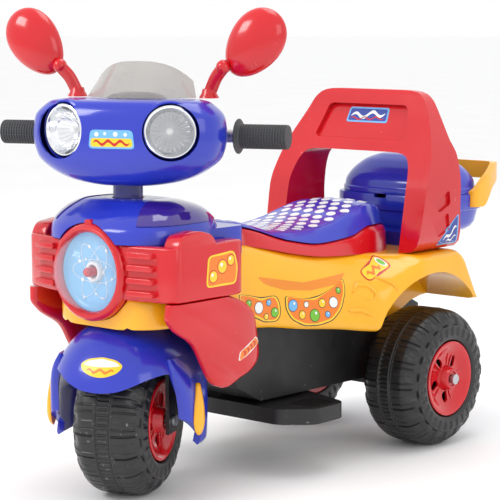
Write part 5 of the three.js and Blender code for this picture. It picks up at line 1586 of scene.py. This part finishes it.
def add_swirl(name, path, thick, tree, view):
    spine = [tuple(landed(tree, view, a, b, -thick * 0.15)) for a, b in smooth_path(path, 44)]

    def section(t):
        size = thick * (0.25 + 0.75 * math.sin(math.pi * min(1, t * 1.15 + 0.05)) ** 0.6)
        return oval(size, size, 14)

    decorate(name, loft(sweep(spine, section, (1, 0, 0))), yellow, "root", sharp=60)


def flank_layers(tree, view):
    """What each ink prints on one flank, every ink a little above the one under it."""
    layers = {name: [] for name in INKS}

    def lay(ink, outline, lift, rings=7):
        layers[ink].append(patch(outline, tree, view, lift, rings))

    for outline in (PANEL_ONE, PANEL_TWO):
        shape = rounded_list(outline, 7)
        lay("black", shape, 0.25)
        lay("yellow", grown(shape, -1.6), 0.4)
        lay("orange", grown(shape, -4.6), 0.55)
    for a, b, radius, ink in BUBBLES:
        lay("black", disc(a, b, radius + 0.9), 0.7, 2)
        lay(ink, disc(a, b, radius), 0.85, 2)
        lay("white", disc(a + radius * 0.3, b + radius * 0.35, radius * 0.25, 12), 1.0, 1)
    badge = turned_outline(rounded_list([(-27, -8), (27, -8), (27, 8), (-27, 8)], 8), -113, 281, 24)
    lay("red", badge, 0.35, 4)
    lay("yellow", grown(badge, -2.4), 0.5, 4)
    layers["orange"].append(wave_band((-130, 272), (-103, 285), 2.4, 4.6, 2, tree, view, 0.7))
    lay("white", disc(-96, 288.5, 5.6), 0.75, 2)
    lay("green", disc(-96, 288.5, 4.0), 0.9, 2)
    return layers


def flank_prints():
    tree = surface_of(body_piece, TRIKE)
    for view, _ in SIDES:
        for name, shapes in flank_layers(tree, view).items():
            if shapes:
                printed(f"flank_print_{name}_{view}", name, shapes)
        # painted shade: a darker yellow patch over the dip's outline stands in for the shade of a hollow that
        # is not modelled
        shade = patch(rounded_list(DIP_SHADE_OUTLINE, 5), tree, view, 0.2)
        decorate(f"flank_dip_painted_shade_{view}", shade, flank_shade, "root", sharp=50)
        for number, (path, thick) in enumerate(SWIRLS):
            add_swirl(f"flank_swirl_{number}_{view}", path, thick, tree, view)


def seat_dots():
    """Staggered rows of dots, kept clear of the pad's edge."""
    tree = surface_of(pad_piece, TRIKE)
    row_gap, column_gap, radius, side_room, end_room = 19, 22, 7.2, 27, 24
    dots = []
    for row, y in enumerate(np.arange(-352, 8, row_gap)):
        station = y - SEAT_FRONT
        half = value(SEAT_HALVES, station) - PAD_MARGIN
        for column in range(-5, 6):
            x = column_gap * (column + 0.5 * (row % 2))
            if half - abs(x) > side_room and end_room < station < SEAT_LENGTH - end_room:
                dots.append(patch(disc(x, y, radius), tree, "top", 0.5, 2))
    printed("seat_dots", "white", dots)


def pod_prints():
    tree = surface_of(nacelle_piece, TRIKE)
    field = rounded_list([(-512, 298), (-452, 298), (-448, 322), (-456, 344), (-508, 340)], 8)
    lamps = [(-498, 312, 7.5), (-480, 324, 8.5), (-463, 331, 6.5)]
    for view, _ in SIDES:
        stamped(f"pod_field_{view}", "yellow", field, tree, view, 0.3)
        stamped(f"pod_inner_{view}", "orange", grown(field, -3), tree, view, 0.45)
        printed(f"pod_lamps_{view}", "yellow",
                [patch(disc(a, b, r), tree, view, 0.7, 3) for a, b, r in lamps])
        rings = [patch(disc(a, b, r + 1.4), tree, view, 0.55, 3) for a, b, r in lamps]
        printed(f"pod_rings_{view}", "red", rings)
        shine = [patch(disc(a - 2, b + 2.5, r * 0.3), tree, view, 0.85, 2) for a, b, r in lamps]
        printed(f"pod_shine_{view}", "white", shine)


def fairing_prints():
    middle = (-424, 206, 22)
    strip = turned_outline(rounded_list([(-27, -6), (27, -6), (22, 6), (-22, 6)], 4), *middle)
    chevron = [(-3, -3.4), (0, -3.4), (3.4, 0), (0, 3.4), (-3, 3.4), (0.4, 0)]
    for (view, _), piece in zip(SIDES, fairing_pieces):
        tree = surface_of(piece, TRIKE)
        stamped(f"fairing_strip_{view}", "white", strip, tree, view, 0.35, 4)
        stamped(f"fairing_band_{view}", "orange", grown(strip, -2), tree, view, 0.5, 4)
        marks = []
        for along in (-13, -4, 5, 14):
            spot = turned_outline([(along, 0)], *middle)[0]
            marks.append(patch(turned_outline(chevron, *spot, 22), tree, view, 0.65, 2))
        printed(f"fairing_chevrons_{view}", "red", marks)


def front_prints():
    on_fork = {"body": "steering", "place": FORK}
    tree = surface_of(fender_piece, FORK)
    apron = [(-31, 196), (-20, 203), (0, 206), (20, 203), (31, 196), (24, 187), (10, 182), (0, 181),
             (-10, 182), (-24, 187)]
    stamped("apron_print", "yellow", rounded_list(apron, 5), tree, "front", 0.3, **on_fork)
    cap = [(-27, 196), (-18, 201), (0, 204), (18, 201), (27, 196), (14, 194.5), (0, 194), (-14, 194.5)]
    stamped("apron_cap", "white", rounded_list(cap, 3), tree, "front", 0.5, 3, **on_fork)
    wave = wave_band((-20, 189), (20, 189), 1.8, 3.4, 2.5, tree, "front", 0.55)
    printed("apron_wave", "orange", [wave], **on_fork)

    tree = surface_of(head_piece, FORK)
    brow = rounded_list([(-33, 480), (33, 480), (30, 505), (-30, 505)], 6)
    stamped("brow_field", "sky", brow, tree, "front", 0.3, **on_fork)
    band = rounded_list([(-30, 482.5), (30, 482.5), (29, 494), (-29, 494)], 4)
    stamped("brow_band", "yellow", band, tree, "front", 0.45, 4, **on_fork)
    bubbles = [(-21, 499, 3), (-9, 500, 2.2), (6, 499.5, 3.2), (20, 499, 2.4)]
    dots = [patch(disc(a, b, r), tree, "front", 0.5, 2) for a, b, r in bubbles]
    printed("brow_bubbles", "white", dots, **on_fork)
    wave = wave_band((-26, 488), (26, 488), 2.6, 4.2, 3, tree, "front", 0.6)
    printed("brow_wave", "red", [wave], **on_fork)


def bar_prints():
    tree = surface_of(bar_piece, TRIKE)
    label = rounded_list([(-40, 488), (40, 488), (38, 511), (-38, 511)], 4)
    stamped("bar_label", "sky", label, tree, "front", 0.4, 5)
    field = rounded_list([(-37, 490.5), (37, 490.5), (35.5, 508.5), (-35.5, 508.5)], 3)
    stamped("bar_label_field", "navy", field, tree, "front", 0.55, 5)
    printed("bar_label_wave", "white", [wave_band((-33, 497), (33, 502), 4, 5, 2, tree, "front", 0.75)])
    printed("bar_label_line", "red", [wave_band((-33, 493), (33, 495), 2, 2.4, 3, tree, "front", 0.75)])
    foot = rounded_list([(4, 306), (58, 306), (57, 352), (40, 340), (20, 322)], 5)
    for view, _ in SIDES:
        stamped(f"bar_foot_border_{view}", "sky", foot, tree, view, 0.35, 5)
        stamped(f"bar_foot_field_{view}", "navy", grown(foot, -3.2), tree, view, 0.5, 5)
        waves = [wave_band((20, 313), (52, 332), 3, 4.5, 1.5, tree, view, 0.7),
                 wave_band((28, 310), (52, 318), 2, 2.6, 1.5, tree, view, 0.7)]
        printed(f"bar_foot_waves_{view}", "white", waves)


flank_prints()
seat_dots()
pod_prints()
fairing_prints()
front_prints()
bar_prints()


# ---- Stage ----
def add_stage():
    material, shader = blank("paper_floor")
    grain = noise(material, 3.0, 2.0)
    link(material,
         mix(material, ranged(material, grain, 0.0, 1.0), (0.95, 0.95, 0.955, 1), (0.975, 0.975, 0.975, 1)),
         shader.inputs["Base Color"])
    link(material, ranged(material, grain, 0.7, 0.8), shader.inputs["Roughness"])
    shader.inputs["Specular IOR Level"].default_value = 0.1
    half, drop = 40000, -0.5
    corners = [(-half, -half, drop), (half, -half, drop), (half, half, drop), (-half, half, drop)]
    floor = new_object("floor", corners, [(0, 1, 2, 3)], TO_METRES)
    floor.data.materials.append(material)


def add_light(name, place, target, size, power):
    data = bpy.data.lights.new(name, "AREA")
    data.shape = "RECTANGLE"
    data.size, data.size_y = size
    data.energy = power
    lamp = bpy.data.objects.new(name, data)
    bpy.context.scene.collection.objects.link(lamp)
    lamp.location = Vector(place)
    lamp.rotation_euler = (Vector(target) - Vector(place)).to_track_quat("-Z", "Y").to_euler()


def light_scene():
    world = bpy.data.worlds.new("studio")
    world.use_nodes = True
    world.node_tree.nodes["Background"].inputs["Color"].default_value = (1, 1, 1, 1)
    world.node_tree.nodes["Background"].inputs["Strength"].default_value = 1.0
    bpy.context.scene.world = world
    middle = (0, 0, 0.3)
    add_light("key", (-0.9, -2.2, 1.9), middle, (1.1, 0.8), 24)
    add_light("fill", (2.6, -0.6, 1.3), middle, (1.2, 1.2), 7)
    add_light("top", (0.2, 0.3, 2.4), middle, (1.6, 1.0), 14)
    bpy.context.scene.view_settings.view_transform = "Standard"
    bpy.context.scene.view_settings.look = "None"


add_stage()
light_scene()
